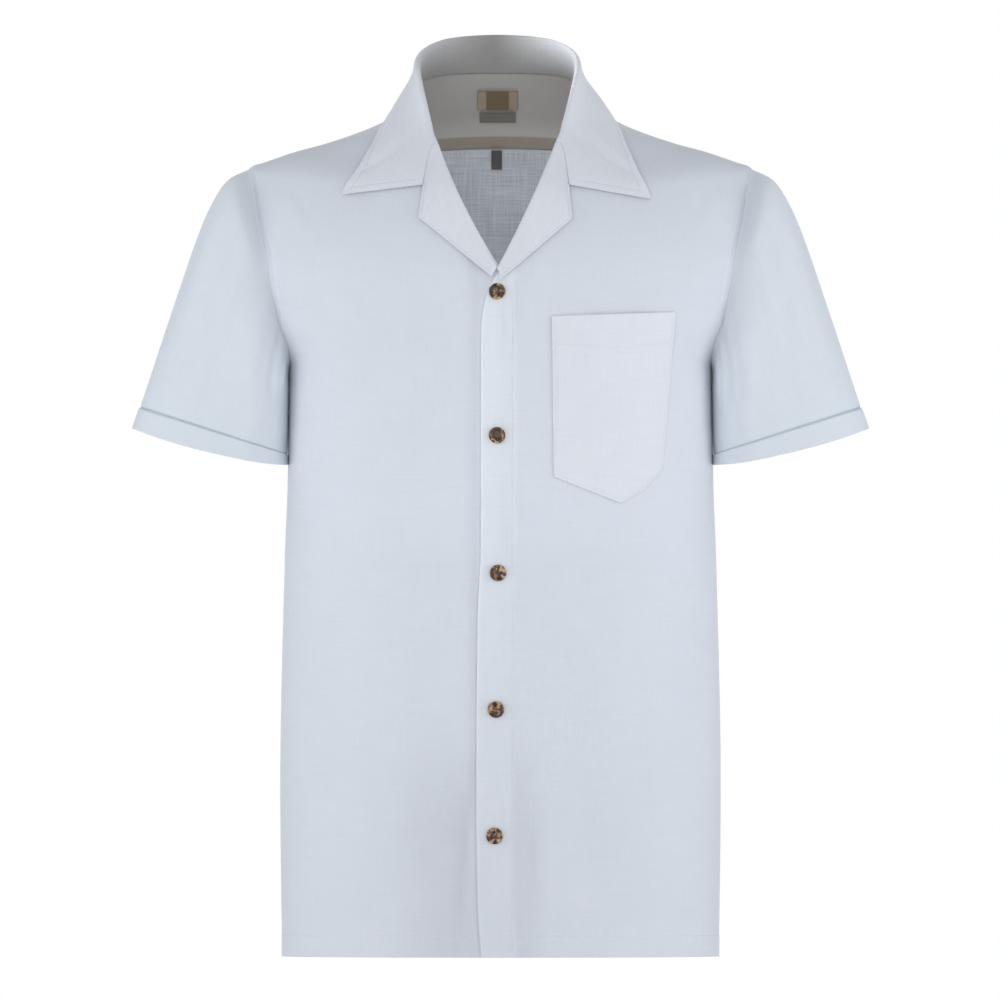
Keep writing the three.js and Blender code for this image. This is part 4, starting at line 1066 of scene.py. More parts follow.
def sleeve(name):
    """A sleeve's shell, the points and normals of its outer face, and where its rows and hem lie."""
    side = SIDES[name]
    turn = SLEEVE_TURNS
    plain, length = sleeve_points(turn, np.linspace(0, 1, FINE_STEPS))
    hem_at = length - CUFF_DEPTH
    mm_down = spaced((0, hem_at, length), 2.8, fine=0.6)
    points = np.empty((len(mm_down), len(turn), 3))
    (x_0, z_0), (x_1, z_1) = HEM_LINE
    # The hem's row is moved up or down each line of the sleeve, on to the slanting stitch line.
    for k in range(len(turn)):
        line = plain[:, k]
        run = run_along(line)
        above = line[:, 2] - z_0 - (line[:, 0] - x_0) * (z_1 - z_0) / (x_1 - x_0)
        last = np.nonzero(above > 0)[0][-1]
        reached = np.interp(0, [-above[last], -above[last + 1]], run[last : last + 2])
        where = np.interp(mm_down, (0, hem_at, length), (0, reached, run[-1]))
        points[:, k] = np.stack([np.interp(where, run, line[:, axis]) for axis in range(3)], axis=-1)
    creases = np.array(SLEEVE_CREASES, float)
    if side < 0:
        # The wearer's right sleeve has its creases a little elsewhere.
        creases = creases * (1, 0.95, 1, 0.92, 1, 1.1) + (4, 0, -5, 0, 0, 0)
    share = (mm_down / length)[:, None]
    rise = np.zeros(points.shape[:2])
    for turn_0, down_0, turn_1, down_1, reach, height in creases:
        t = (share - down_0) / (down_1 - down_0)
        off = (turn[None, :] - mix(turn_0, turn_1, t) + 180) % 360 - 180
        rise += height * step(t, 0, 0.3) * (1 - step(t, 0.65, 1)) * swell(off / reach)
    below = mm_down[:, None]
    rise = rise + dip(below, 0.05, 0.9)
    rise = rise + CUFF_RISE * step(below, hem_at - 0.4, hem_at + 0.5) + dip(below - hem_at, 0.9, 0.9)
    points[..., 0] *= side
    normal = grid_normals(points, closed=True)
    middle = points.mean(axis=1, keepdims=True)
    if (normal * (points - middle)).sum() < 0:
        normal = -normal
    outer = points + normal * rise[..., None]
    half_way = points[len(mm_down) // 2]
    around = run_along(np.concatenate([half_way, half_way[:1]]))
    body_normal = outwards(cloth_point, *round_armhole(turn))
    body_normal[:, 0] *= side
    past = unit(np.cross(body_normal, np.roll(points[0], -1, axis=0) - np.roll(points[0], 1, axis=0)))
    past = past * np.sign((past * (points[0] - points[0].mean(axis=0))).sum(-1, keepdims=True))
    tucked = [points[0] + past * reach - body_normal * TUCK_DEPTH for reach in SLEEVE_TUCK]
    shell = np.concatenate([tucked, outer])
    down = np.concatenate([-np.array(SLEEVE_TUCK), mm_down])
    grain = np.stack(np.broadcast_arrays(around[None, :], -down[:, None]), axis=-1)
    out = np.concatenate([np.broadcast_to(body_normal, (len(tucked), *body_normal.shape)), normal])
    # Painted shadow along the hem's groove.
    shade = mix(PLAIN, HEM_GROOVE_SHADOW, bell((down - hem_at) / 0.8)[:, None, None])
    # Painted highlight along the seam, and painted light where the sleeve turns in towards the body, against
    # the shade there.
    beside = bell((np.abs(turn - UNDERARM_TURN) - 40) / 42) * step(down, 8, 60)[:, None]
    shade = shade * (painted_seam_highlight(np.maximum(down, 0))[:, None] * (1 + TURNED_IN_PAINTED_LIGHT * beside))[..., None]
    piece = cloth_object(
        "cloth_sleeve_" + name, shell, grain, sleeve_linen, BODY_WALL,
        closed=True, outward=out, tint=shade,
    )
    return piece, outer, normal, mm_down, hem_at


for name in SIDES:
    piece, outer, normal, mm_down, hem_at = sleeve(name)
    at = nearest(mm_down, hem_at)
    loop = outer[at] + normal[at] * SLEEVE_THREAD_LIFT
    stitches = sewn("stitches_sleeve_" + name, [np.concatenate([loop, loop[:1]])])
    stand_for(piece, "sleeve_" + name)


# The lapels.
# The top of each front with its facing, turned out over the roll line: two layers of linen, pressed
# along their outer edge and joined to the collar at the gorge seam.
PATTERN_WALL, SEAM_GAP = 1.5, 0.3
LEAF_CLEAR = PATTERN_WALL + 0.5
LAPEL_LIFT, LAPEL_EASE, LAPEL_ROLL_LOW, ROLL = 0.5, 0.12, 2.0, 3.0
LAPEL_WALL, LAPEL_STITCH, LAPEL_ROWS = 1.1, 2.2, 96
# Along the lapel's edge, the share of its length at which the corner comes.
LAPEL_CORNER = 8 / 11
LAPEL_OUTLINE = {
    "left": {"foot": (-0.5, -152.5), "corner": (63, -98), "notch": (60, -69)},
    "right": {"foot": (-8, -149), "corner": (-72, -97), "notch": (-68, -69)},
}
collar_linen = linen("collar_linen", (0.72, 0.735, 0.785), (0.63, 0.65, 0.7), shows_through=0.04)


def height_over(point, station, angle):
    """The place of the body cloth below each point, the way out there, and how high the point lies."""
    for _ in range(7):
        here = cloth_point(station, angle)
        up = (cloth_point(station + 0.5, angle) - here) * 2
        along = (cloth_point(station, angle + 0.25) - here) * 4
        miss = point - here
        uu, aa, ua = (up * up).sum(-1), (along * along).sum(-1), (up * along).sum(-1)
        mu, ma = (miss * up).sum(-1), (miss * along).sum(-1)
        spread = uu * aa - ua * ua
        station = station + np.clip((mu * aa - ma * ua) / spread, -15, 15)
        angle = angle + np.clip((ma * uu - mu * ua) / spread, -5, 5)
        station = np.minimum(station, NECK_STATION + 6)
    normal = outwards(cloth_point, station, angle)
    return station, normal, ((point - cloth_point(station, angle)) * normal).sum(-1)


# How many steps a strip has up its stand, round its roll and down its leaf.
STAND_STEPS, ROLL_STEPS, LEAF_STEPS = 8, 12, 25


def bent_strips(seat, way_past, stand, lean, roll, ease, edge, edge_lift, shares):
    """Strips across a turned-over edge: up the stand, round the roll, down the leaf to the free edge.
    seat and edge are (points, normals, stations, angles). shares says where each strip has its points."""
    point, normal, station, angle = seat
    edge_point, edge_normal, edge_station, edge_angle = edge
    stand, lean, roll, ease = (np.asarray(v, float)[:, None] for v in (stand, lean, roll, ease))
    rise = unit(np.array([0.0, 0.0, 1.0]) * (1 - lean) + way_past * lean)
    over = unit(normal - rise * (normal * rise).sum(-1, keepdims=True))
    tilt = np.maximum(0, -(over * way_past).sum(-1, keepdims=True))
    clear = SEAM_GAP + 0.45 * (1 - step(stand, 0, 2)) + PATTERN_WALL * tilt
    start = point - PATTERN_WALL * normal + clear * way_past
    path = [start + rise * stand * k / STAND_STEPS for k in range(STAND_STEPS)]
    turn = start + rise * stand + over * roll
    for bend in np.linspace(0, math.pi, ROLL_STEPS + 1):
        path.append(turn - over * roll * math.cos(bend) + rise * roll * math.sin(bend))
    first = path[-1]
    reach = np.linalg.norm(edge_point - first, axis=-1, keepdims=True)
    second = first - rise * ease * reach
    third = mix(edge_point, first, 0.35) + edge_normal * 0.05 * reach
    t = np.linspace(0, 1, LEAF_STEPS)[1:][:, None, None]
    rest = 1 - t
    leaf = first * rest**3 + 3 * second * t * rest**2 + 3 * third * t**2 * rest + edge_point * t**3
    along = t[..., 0]
    under_station, under_normal, height = height_over(
        leaf, mix(station, edge_station, along), mix(angle, edge_angle, along)
    )
    least = mix(2 * roll[:, 0] - PATTERN_WALL, np.asarray(edge_lift, float), step(along, 0, 0.7))
    short = np.where(under_station < NECK_STATION + 5, np.maximum(least - height, 0), 0)
    leaf = leaf + under_normal * short[..., None]
    path = np.concatenate([np.array(path), leaf]).transpose(1, 0, 2)
    strips = np.empty((len(path), len(shares), 3))
    for k, strip in enumerate(path):
        run = run_along(strip)
        for axis in range(3):
            strips[k, :, axis] = np.interp(shares * run[-1], run, strip[:, axis])
    return strips


def eased(grid, rounds=4):
    """Takes small kinks out of a turned-over piece, leaving its borders where they are."""
    grid = grid.copy()
    for _ in range(rounds):
        inner = grid[1:-1, 1:-1]
        mean = (grid[:-2, 1:-1] + grid[2:, 1:-1] + grid[1:-1, :-2] + grid[1:-1, 2:]) / 4
        grid[1:-1, 1:-1] = mix(inner, mean, 0.5)
        side = (grid[2:, -1] + grid[:-2, -1]) / 2
        grid[1:-1, -1] = mix(grid[1:-1, -1], side, 0.1)
    return grid


def spots(station, angle, lift=0.0):
    """Points at a height over the body cloth, the ways out there, and their places."""
    normal = outwards(cloth_point, station, angle)
    return cloth_point(station, angle) + normal * np.asarray(lift)[..., None], normal, station, angle


def way_past_edge(normal, before, after, sign):
    """The way in the cloth's face that leads over its edge, from the places before and after a point."""
    along = cloth_point(*after) - cloth_point(*before)
    return unit(np.cross(along, normal)) * sign


def lapel_edge(name, t):
    """The outer edge of a lapel from its foot (0) past the corner to the notch (1)."""
    outline = np.array([LAPEL_OUTLINE[name][mark] for mark in ("foot", "corner", "notch")], float)
    station, angle = locate(*(np.interp(t, (0, LAPEL_CORNER, 1), outline[:, axis]) for axis in (0, 1)))
    return station, whole_turn(angle, SIDES[name])


def lapel_strips(name, t, shares):
    """Strips of a lapel at shares t of its roll line, from its foot to the gorge."""
    side = SIDES[name]
    station, angle = roll_place(name, t)
    point, normal, station, angle = spots(station, angle)
    if side < 0:
        point = point - normal * underlap_depth(point[:, 0], point[:, 2])[:, None]
    past = way_past_edge(normal, roll_place(name, t - 0.02), roll_place(name, t + 0.02), -side)
    edge = spots(*lapel_edge(name, t), LEAF_CLEAR + LAPEL_LIFT)
    roll = mix(LAPEL_ROLL_LOW, ROLL, step(t, 0, 0.5))
    none = np.zeros(len(t))
    return bent_strips(
        (point, normal, station, angle), past, none, none + 1, roll, none + LAPEL_EASE, edge,
        none + LEAF_CLEAR + LAPEL_LIFT, shares,
    )


EDGE_STEP, EDGE_RISE = 0.8, 0.3


def from_free_edge(grid, edge):
    """How far each point of a turned-over piece lies from its free edge."""
    run = run_along(edge)
    at = np.arange(0, run[-1], EDGE_STEP)
    line = np.stack([np.interp(at, run, edge[:, axis]) for axis in range(3)], axis=-1)
    far = np.empty(grid.shape[:2])
    for k, strip in enumerate(grid):
        far[k] = np.sqrt(((strip[:, None] - line[None]) ** 2).sum(-1).min(axis=1))
    return far


def pressed(grid, normal, to_gorge, stitch):
    """The outer face of a turned-over piece, with its row of stitches. Its pressed edge stands a little
    thick outside them, and its gorge seam is a groove."""
    far = from_free_edge(grid, grid[:, -1])
    edge = EDGE_RISE * (1 - step(far, stitch - 0.8, stitch + 0.6)) + dip(far - stitch, 0.25, 0.8)
    outer = grid + normal * (edge + dip(to_gorge, 0.5, 0.9))[..., None]
    line = []
    for k in range(len(grid)):
        inside = np.nonzero(far[k] >= stitch)[0]
        if len(inside) and inside[-1] + 1 < grid.shape[1]:
            i = inside[-1]
            t = (far[k][i] - stitch) / (far[k][i] - far[k][i + 1])
            line.append(mix(outer[k, i], outer[k, i + 1], t) + THREAD_LIFT * normal[k, i])
    return outer, np.array(line)


LEAF_SHARES = np.concatenate([np.linspace(0, 0.8, 44), np.linspace(0.8, 1, 25)[1:]])
for name in SIDES:
    up_roll = np.linspace(0, 1, LAPEL_ROWS)
    grid = eased(lapel_strips(name, up_roll, LEAF_SHARES))
    normal = grid_normals(grid)
    outward = spots(*lapel_edge(name, up_roll))[1][:, None]
    if (normal[:, -20:] * outward).sum() < 0:
        normal = -normal
    outer, line = pressed(grid, normal, np.linalg.norm(grid - grid[-1:], axis=-1), LAPEL_STITCH)
    down = run_along(grid, axis=1)
    grain = np.stack([down, np.broadcast_to(run_along(grid[:, 20])[:, None], down.shape)], axis=-1)
    piece = cloth_object("cloth_lapel_" + name, outer, grain, collar_linen, LAPEL_WALL, outward=normal)
    stitches = sewn("stitches_lapel_" + name, [line])
    stand_for(piece, "lapel_" + name)


# The collar.
# One turned-down piece with its stand: two layers of linen round a light interlining, edge-stitched all
# round its leaf and sewn to the neckline, its ends notched against the lapels.

# Sections of one half: seat from the middle of the back (0) over the shoulder line (1) to the front end
# (2), height of the stand, its lean over the edge, radius of the roll, ease of the leaf, height of its edge.
COLLAR_KEYS = (
    (0, 31, 0.1, 3.2, 0.4, 7),
    (0.33, 29, 0.1, 3.2, 0.4, 6),
    (0.67, 24, 0.1, 3.2, 0.4, 5),
    (1, 17, 0.12, 3.1, 0.4, 3.4),
    (1.3, 11, 0.3, 3, 0.35, 3.4),
    (1.55, 6, 0.6, 3, 0.26, 3.2),
    (1.75, 3, 0.88, 3, 0.2, 3.1),
    (1.88, 1, 0.96, 3, 0.16, 2.9),
    (2, 0, 1, 3, 0.15, 2.7),
)
# The leaf's free edge: places behind, then x and z at the shoulder, the tip and the notch, with the
# shares of the way at which the sections come.
EDGE_BEHIND = ((831, 90), (831, 62), (830, 32), (830, 0))
LEAF_SHOULDER = (102, -18)
COLLAR_TIPS = {"left": (131.6, -81), "right": (-138.6, -77)}
ALONG_TIP, ALONG_END = (0.3, 0.66, 1), (0.5, 1)
COLLAR_WALL, COLLAR_STITCH = 1.3, 6.3
# Painted shade on the inside of the stand, as in the shade of the collar, with painted light towards its top
# and its sides.
NECK_SHADE = np.array([0.42, 0.395, 0.355])
NECK_MIDDLE_X, NECK_REACH, GLOW_LEFT, GLOW_RIGHT = -6.0, 55.0, 1.1, 0.42
collar_keys = np.array(COLLAR_KEYS, float)


def collar_strips(name, seats, shares):
    """Strips of one half of the collar, at seats from the middle of the back (0) to its front end (2)."""
    side = SIDES[name]
    tip, notch = COLLAR_TIPS[name], LAPEL_OUTLINE[name]["notch"]
    shoulder = (LEAF_SHOULDER[0] * side, LEAF_SHOULDER[1])
    places = [(float(s), float(on_side(a, side))) for s, a in EDGE_BEHIND]
    for start, end, share_list in ((shoulder, tip, ALONG_TIP), (tip, notch, ALONG_END)):
        for share in share_list:
            station, angle = locate(mix(start[0], end[0], share), mix(start[1], end[1], share))
            places.append((float(station), float(whole_turn(angle, side))))
    key_station, key_angle = np.array(places).T
    points, normals, _, _ = spots(key_station, key_angle, collar_keys[:, 5])
    at = collar_keys[:, 0]

    def along(values):
        return through(at, values)(seats)

    edge = (
        np.stack([along(points[:, axis]) for axis in range(3)], axis=-1),
        unit(np.stack([along(normals[:, axis]) for axis in range(3)], axis=-1)),
        along(key_station),
        along(key_angle),
    )

    def seat_place(seat):
        behind = on_side(90 * (1 - np.minimum(seat, 1)), side)
        station, angle = neckline_place(name, 2 - np.maximum(seat, 1))
        return np.where(seat <= 1, NECK_STATION, station), np.where(seat <= 1, behind, angle)

    seat = spots(*seat_place(seats))
    past = way_past_edge(seat[1], seat_place(np.maximum(seats - 0.02, 0)), seat_place(seats + 0.02), side)
    stand, lean, roll, ease, lift = (along(collar_keys[:, k]) for k in range(1, 6))
    return bent_strips(seat, past, stand, lean, roll, ease, edge, lift, shares)


STAND_SHARES = np.concatenate([np.linspace(0, 0.86, 52), np.linspace(0.86, 1, 21)[1:]])
half_seats = np.concatenate(
    [np.linspace(0, 1.62, 84), np.linspace(1.62, 1.86, 36)[1:], np.linspace(1.86, 2, 20)[1:-1]]
)
halves = {}
for name in SIDES:
    gorge = lapel_strips(name, np.array([1.0]), STAND_SHARES)
    halves[name] = np.concatenate([collar_strips(name, half_seats, STAND_SHARES), gorge])
grid = eased(np.concatenate([halves["right"][:0:-1], halves["left"]]))
normal = grid_normals(grid)
middle = len(grid) // 2
if normal[middle, -10, 1] < 0:
    normal = -normal
to_gorge = np.minimum(*(np.linalg.norm(grid - end, axis=-1) for end in (grid[:1], grid[-1:])))
outer, line = pressed(grid, normal, to_gorge, COLLAR_STITCH)
down = run_along(grid, axis=1)
grain = np.stack([np.broadcast_to(run_along(grid[:, 40])[:, None], down.shape), down], axis=-1)
top = down[np.arange(len(down)), np.argmax(grid[:, :40, 2], axis=1)][:, None]
stand_there = step(grid[:, :40, 2].max(axis=1) - grid[:, 0, 2], 8, 15)[:, None]
# Painted shade and painted light on the neck side of the stand.
facing_neck = (1 - step(down, top - 1.2, top + 0.6)) * stand_there
up_stand = np.clip(down / top, 0, 1)
off_middle = grid[..., 0] - NECK_MIDDLE_X
sideways = np.clip(np.abs(off_middle) / NECK_REACH, 0, 1.2)
painted_glow = np.where(off_middle > 0, GLOW_LEFT, GLOW_RIGHT) * up_stand**1.3 * sideways**1.2
collar_tint = mix(PLAIN, NECK_SHADE + painted_glow[..., None], facing_neck[..., None])
collar = cloth_object(
    "cloth_collar", outer, grain, collar_linen, COLLAR_WALL, outward=normal, tint=collar_tint
)
collar_stitches = sewn("stitches_collar", [line])
stand_for(collar, "collar")


# The chest pocket.
# A patch on the wearer's left front with an off-centre pointed foot, its mouth turned in twice and
# stitched, its other edges pressed under and stitched close to the fold.
POCKET_TOP = ((44.9, -183.5), (153.6, -179.5))
POCKET_FOOT = ((46.6, -324.7), (105.2, -348), (124.5, -337), (142.1, -319.9))
POCKET_LIFT, POCKET_PUFF, MOUTH_FOLD, POCKET_STITCH = 0.7, 1.7, 26.0, 2.6
# What is pressed under along the edges, its rise, and how far above the fold the mouth is stitched.
EDGE_UNDER, UNDER_RISE, MOUTH_RISE, MOUTH_STITCH = 5.5, 0.35, 0.45, 1.5
POCKET_WALL = 0.6
pocket_linen = linen("pocket_linen", (0.79, 0.81, 0.86), (0.71, 0.74, 0.79), slub=0.75)


def pocket_grid(across, up):
    """The x and z of the pocket's cloth, at shares across it and up from its foot to its mouth."""
    foot_x, foot_z = np.array(POCKET_FOOT, float).T
    low_x = mix(foot_x[0], foot_x[-1], across)
    low_z = np.interp(low_x, foot_x, foot_z)
    high_x = mix(POCKET_TOP[0][0], POCKET_TOP[1][0], across)
    high_z = mix(POCKET_TOP[0][1], POCKET_TOP[1][1], across)
    return mix(low_x, high_x, up), mix(low_z, high_z, up)


pocket_width = POCKET_TOP[1][0] - POCKET_TOP[0][0]
corners = [(x - POCKET_FOOT[0][0]) / (POCKET_FOOT[-1][0] - POCKET_FOOT[0][0]) for x, _ in POCKET_FOOT]
across = spaced([c * pocket_width for c in corners], 2.2, fine=0.6) / pocket_width
pocket_height = POCKET_TOP[0][1] - POCKET_FOOT[0][1]
up = spaced((0, pocket_height - MOUTH_FOLD, pocket_height), 2.2, fine=0.6) / pocket_height
x, z = pocket_grid(across[None, :], up[:, None])
station, angle = locate(x, z)
points = cloth_point(station, angle)
normal = outwards(cloth_point, station, angle)
outline = np.concatenate([points[:, 0][::-1], points[0], points[:, -1]])
to_edge = from_free_edge(points, outline)
to_mouth = (1 - up)[:, None] * pocket_height
in_from_edge = step(np.minimum(to_edge, to_mouth + 20), 0, 26)
puff = POCKET_PUFF * in_from_edge * np.sin(math.pi * across) * (0.35 + 0.65 * up[:, None])
height = POCKET_LIFT + UNDER_RISE * step(to_edge, 0, 1.2) + puff
height += UNDER_RISE * (1 - step(to_edge, EDGE_UNDER, EDGE_UNDER + 1.5))
height += dip(to_edge - POCKET_STITCH, 0.35, 0.8)
height += MOUTH_RISE * (1 - step(to_mouth, MOUTH_FOLD - 0.4, MOUTH_FOLD + 0.8))
height += dip(to_mouth - MOUTH_FOLD + MOUTH_STITCH, 0.3, 0.8)
ripple = np.sin(across * 17 + 2 * up[:, None]) * 0.16 * in_from_edge
outer = points + normal * (height + ripple)[..., None]
grain = np.stack([x, z], axis=-1)
piece = cloth_object("cloth_pocket", outer, grain, pocket_linen, POCKET_WALL, outward=normal)
first = nearest(across * pocket_width, POCKET_STITCH)
last = nearest((1 - across) * pocket_width, POCKET_STITCH)
bottom = nearest(up * pocket_height, POCKET_STITCH)
raised = outer + THREAD_LIFT * normal
pocket_lines = [
    raised[nearest(to_mouth[:, 0], MOUTH_FOLD - MOUTH_STITCH)],
    raised[bottom:, first][::-1],
    raised[bottom, first:last],
    raised[bottom:, last],
]
stitches = sewn("stitches_pocket", pocket_lines, pitch=2.8, length=2.1)
stand_for(piece, "pocket")


# The buttons.
# Four-hole buttons with a raised rim round a dished middle, turned from mottled brown horn-like stock,
# polished, and sewn on with dark brown thread that crosses between the holes.
BUTTON_CENTRES = ((-3, -162), (-3, -288), (-2.2, -409), (-4, -529), (-5.3, -640))
BUTTON_DEPTH, BUTTON_DISH, BUTTON_LIFT, BUTTON_TURN = 3.0, 0.9, 0.5, 0.3
BUTTON_HOLE, HOLE_SPREAD, HOLE_THREAD_LIFT = 0.85, 2.45, 0.12
# The section of a button from the middle of its back to the middle of its face: out, up.
BUTTON_SECTION = (
    (0, 0), (5.6, 0), (6.3, 0.12), (6.85, 0.5), (7.15, 1.0), (7.25, 1.5), (7.18, 2.1), (6.95, 2.6),
    (6.55, 2.92), (6.1, 3.0), (5.6, 2.95), (5.15, 2.74), (4.75, 2.42), (4.35, 2.18), (3.9, 2.1), (0, 2.1),
)
# Where each colour of the horn starts in its clouds.
HORN_COLOURS = (
    (0.36, (0.02, 0.011, 0.01)),
    (0.46, (0.07, 0.036, 0.026)),
    (0.54, (0.23, 0.12, 0.055)),
    (0.63, (0.56, 0.37, 0.18)),
)


def horn_finish():
    """Mottled horn: dark brown with tan and amber clouds, under a polish."""
    material, nodes, links, surface = new_finish(
        "mottled_horn", Roughness=0.3, Specular_IOR_Level=0.3, Coat_Weight=0.1, Coat_Roughness=0.15
    )
    place = nodes.new("ShaderNodeTexCoord")
    clouds = added(nodes, "ShaderNodeTexNoise", Scale=150.0, Detail=3.0, Distortion=1.4)
    flecks = added(nodes, "ShaderNodeTexNoise", Scale=620.0, Detail=2.0)
    for noise in (clouds, flecks):
        links.new(place.outputs["Object"], noise.inputs["Vector"])
    shade = nodes.new("ShaderNodeValToRGB")
    ramp = shade.color_ramp
    for k, (at, colour) in enumerate(HORN_COLOURS):
        stop = ramp.elements[k] if k < 2 else ramp.elements.new(at)
        stop.position, stop.color = at, (*colour, 1)
    links.new(clouds.outputs[0], shade.inputs[0])
    specked = blended(nodes, links, shade.outputs[0], flecks.outputs["Color"], 0.3, "MULTIPLY")
    links.new(specked, surface.inputs["Base Color"])
    return material


def button_mesh():
    """A turned disc with four holes, lying in the XY plane with its face up."""
    bm = bmesh.new()
    loop = [bm.verts.new((out * MM, 0, up * MM)) for out, up in BUTTON_SECTION]
    for a, b in zip(loop[:-1], loop[1:]):
        bm.edges.new((a, b))
    bmesh.ops.spin(
        bm, geom=bm.verts[:] + bm.edges[:], cent=(0, 0, 0), axis=(0, 0, 1),
        angle=2 * math.pi, steps=40, use_merge=True,
    )
    bmesh.ops.remove_doubles(bm, verts=bm.verts[:], dist=1e-6)
    bmesh.ops.recalc_face_normals(bm, faces=bm.faces[:])
    disc = bpy.data.meshes.new("button_disc")
    bm.to_mesh(disc)
    bm.free()
    drill, hole, half = bmesh.new(), BUTTON_HOLE * MM, HOLE_SPREAD / 2 * MM
    for across in (-half, half):
        for along in (-half, half):
            bmesh.ops.create_cone(
                drill, cap_ends=True, segments=16, radius1=hole, radius2=hole, depth=0.02,
                matrix=Matrix.Translation((across, along, 0)),
            )
    drills = bpy.data.meshes.new("button_drills")
    drill.to_mesh(drills)
    drill.free()
    body, holes = placed("disc", disc), placed("drills", drills)
    cut = body.modifiers.new("holes", "BOOLEAN")
    cut.operation, cut.object, cut.solver = "DIFFERENCE", holes, "EXACT"
    made = bpy.data.meshes.new_from_object(body.evaluated_get(bpy.context.evaluated_depsgraph_get()))
    for part in (body, holes):
        bpy.data.objects.remove(part)
    return made


horn = horn_finish()
pattern = button_mesh()
button_thread = thread_finish("button_thread", (0.11, 0.075, 0.055))
centres = np.array(BUTTON_CENTRES, float)
points, normals, _, _ = spots(*locate(*centres.T), BAND_RISE + BUTTON_LIFT)
face_height, half = BUTTON_DEPTH - BUTTON_DISH + HOLE_THREAD_LIFT, HOLE_SPREAD / 2
for k, (point, normal) in enumerate(zip(points, normals)):
    mesh = pattern.copy()
    turn = Vector((0, 0, 1)).rotation_difference(Vector(normal))
    turn = turn @ Matrix.Rotation(BUTTON_TURN * k, 3, "Z").to_quaternion()
    place = Matrix.Translation(Vector(point) * MM) @ turn.to_matrix().to_4x4()
    mesh.transform(place)
    mesh.materials.clear()
    mesh.materials.append(horn)
    for face in mesh.polygons:
        face.use_smooth = True
    button = placed("horn_button_%d" % (k + 1), mesh)
    stand_for(button, "button_%d" % (k + 1))
    cross = [
        [(place @ (Vector((end * half, end * slant * half, face_height)) * MM)) / MM for end in (-1, 1)]
        for slant in (1, -1)
    ]
    sewn("thread_button_%d" % (k + 1), cross, button_thread, pitch=0.7, length=1.1, thread=0.5)


# The labels.
# Three plain woven tapes inside the back of the neck: the main one on a darker ground, a narrow one
# below it, and a small tab that hangs from the yoke seam.

# Each label's middle, size, cut size with its turned ends, slot and two colours.
LABELS = (
    (
        "label_main", -2.6, 8.8, 36, 16.2, (0.044, 0.0162),
        "label_tan", (0.33, 0.26, 0.195), (0.25, 0.195, 0.145),
    ),
    (
        "label_fibre", -2.6, -6.2, 32, 9, (0.04, 0.011),
        "label_grey", (0.18, 0.16, 0.14), (0.13, 0.115, 0.1),
    ),
    (
        "label_size", -3.4, -43.8, 9.4, 17, (0.0105, 0.022),
        "label_dark", (0.125, 0.12, 0.12), (0.075, 0.07, 0.07),
    ),
)
LABEL_DROP, LABEL_WALL, LABEL_YARN = 2.6, 0.5, 0.0005
# The darker ground of the main label, and the share of its width that it reaches from the middle.
GROUND_SHADE, GROUND_REACH = np.array([0.51, 0.48, 0.36]), (0.27, 0.3)
across, up = np.linspace(-0.5, 0.5, 49), np.linspace(-0.5, 0.5, 17)
for name, x, z, width, height, cut, slot, pale, deep in LABELS:
    gx, gz = np.meshgrid(x + width * across, z + height * up)
    station, angle = locate(gx, gz, 1)
    inner = outwards(cloth_point, station, angle)
    points = cloth_point(station, angle) - inner * LABEL_DROP
    bow = np.cos(math.pi * across)[None, :] * 0.25 + np.sin(4 * up)[:, None] * 0.1
    points = points - inner * bow[..., None]
    grain = np.stack([gx, gz], axis=-1)
    tape = linen(name + "_tape", pale, deep, slub=0.6, shows_through=0, yarn=LABEL_YARN, bump=0.3)
    ground = (1 - step(np.abs(gx - x) / width, *GROUND_REACH)) * (name == "label_main")
    shade = mix(PLAIN, GROUND_SHADE, ground[..., None])
    piece = cloth_object("tape_" + name, points, grain, tape, LABEL_WALL, outward=-inner, tint=shade)
    stand_for(piece, name)


# The place it is shown in: a pale floor well below the hem, soft light all round, and a long lens
# straight on from the front.
FRAME_WIDTH, SENSOR, CAMERA_AWAY = 0.88, 36.0, 36.0
CAMERA_CENTRE = (-0.00044, -0.06, -0.34496)
FLOOR_Z, FLOOR_HALF = -1.5, 6.0
mesh = bpy.data.meshes.new("floor")
corners = [(x * FLOOR_HALF, y * FLOOR_HALF, FLOOR_Z) for x, y in ((-1, -1), (1, -1), (1, 1), (-1, 1))]
mesh.from_pydata(corners, [], [(0, 1, 2, 3)])
floor = placed("floor", mesh)
mesh.materials.append(new_finish("pale_floor", Base_Color=(0.72, 0.72, 0.73, 1), Roughness=0.9)[0])

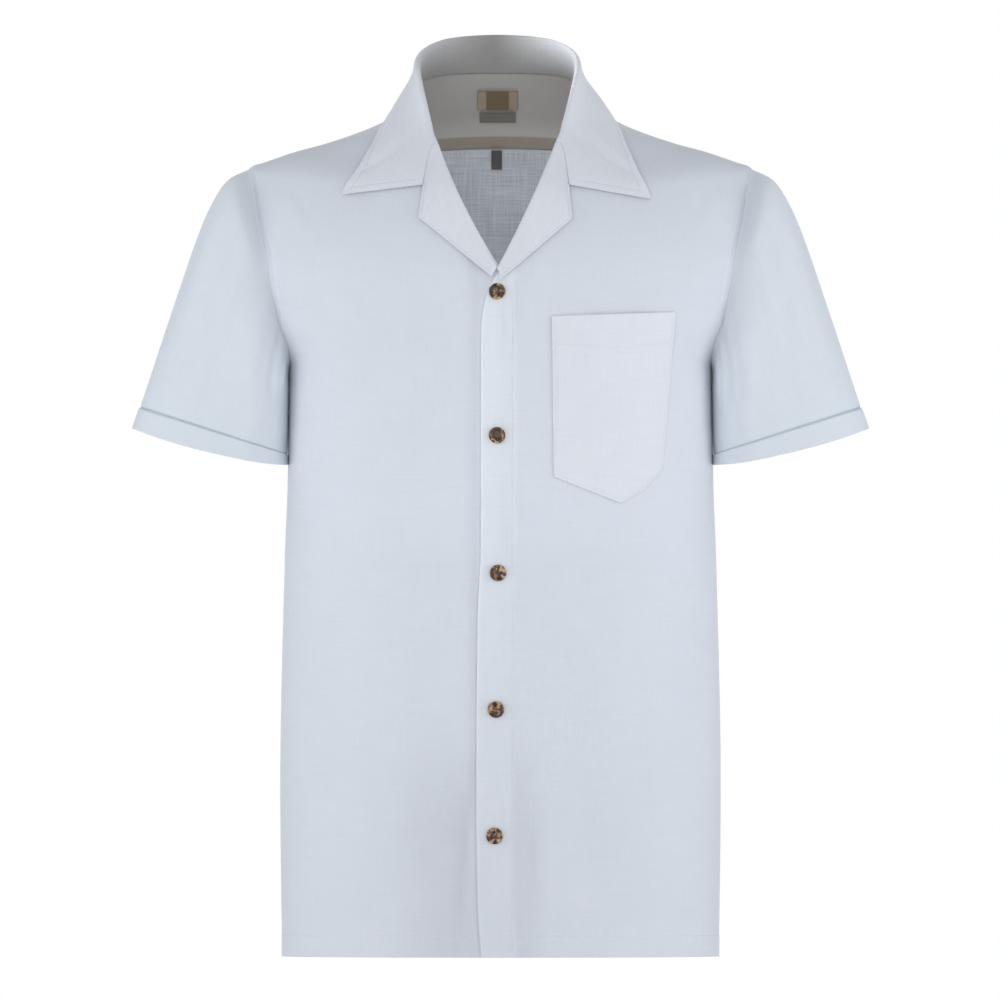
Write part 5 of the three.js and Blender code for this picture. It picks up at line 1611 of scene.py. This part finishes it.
world = bpy.data.worlds.new("studio")
bpy.context.scene.world = world
world.use_nodes = True
nodes, links = world.node_tree.nodes, world.node_tree.links
nodes.clear()
out = nodes.new("ShaderNodeOutputWorld")
seen = added(nodes, "ShaderNodeBackground", Color=(1, 1, 1, 1), Strength=1.0)
lit = added(nodes, "ShaderNodeBackground", Color=(0.94, 0.97, 1, 1), Strength=0.62)
either, ray = nodes.new("ShaderNodeMixShader"), nodes.new("ShaderNodeLightPath")
links.new(ray.outputs["Is Camera Ray"], either.inputs[0])
links.new(lit.outputs[0], either.inputs[1])
links.new(seen.outputs[0], either.inputs[2])
links.new(either.outputs[0], out.inputs[0])

# Soft boxes: name, place, aim, size, power, colour.
SHIRT_MIDDLE = (0, 0, -0.35)
SOFT_BOXES = (
    ("key", (-1.2, -4.15, 0.1), SHIRT_MIDDLE, 2.2, 35, (1, 0.995, 0.99)),
    ("fill", (1.5, -4.0, -0.1), SHIRT_MIDDLE, 2.2, 24, (0.97, 0.985, 1)),
    ("side_left", (2.9, -0.8, -0.35), SHIRT_MIDDLE, 1.8, 29, (0.96, 0.98, 1)),
    ("side_right", (-2.9, -0.8, -0.35), SHIRT_MIDDLE, 1.8, 27, (0.96, 0.98, 1)),
    ("behind", (0, 3.2, -0.1), SHIRT_MIDDLE, 2.4, 30, (0.95, 0.98, 1)),
    ("within", (0, -0.01, -0.44), (0, 0.09, -0.16), 0.09, 0.43, (0.95, 0.98, 1)),
)


def aimed(thing, place, way):
    """Sets a lamp or the camera at a place, looking along a way."""
    thing.location = place
    thing.rotation_mode = "QUATERNION"
    thing.rotation_quaternion = Vector(way).to_track_quat("-Z", "Y")


for name, place, aim, size, power, colour in SOFT_BOXES:
    light = bpy.data.lights.new(name, "AREA")
    light.shape, light.size, light.energy, light.color = "SQUARE", size, power, colour
    lamp = placed(name, light)
    aimed(lamp, place, Vector(aim) - Vector(place))
    lamp.visible_camera = False

lens = bpy.data.cameras.new("camera")
lens.sensor_width, lens.lens = SENSOR, SENSOR * CAMERA_AWAY / FRAME_WIDTH
lens.clip_start, lens.clip_end = 1.0, 60.0
camera = placed("camera", lens)
aimed(camera, Vector(CAMERA_CENTRE) + Vector((0, -CAMERA_AWAY, 0)), (0, 1, 0))
bpy.context.scene.camera = camera
bpy.context.scene.view_settings.view_transform = "Standard"
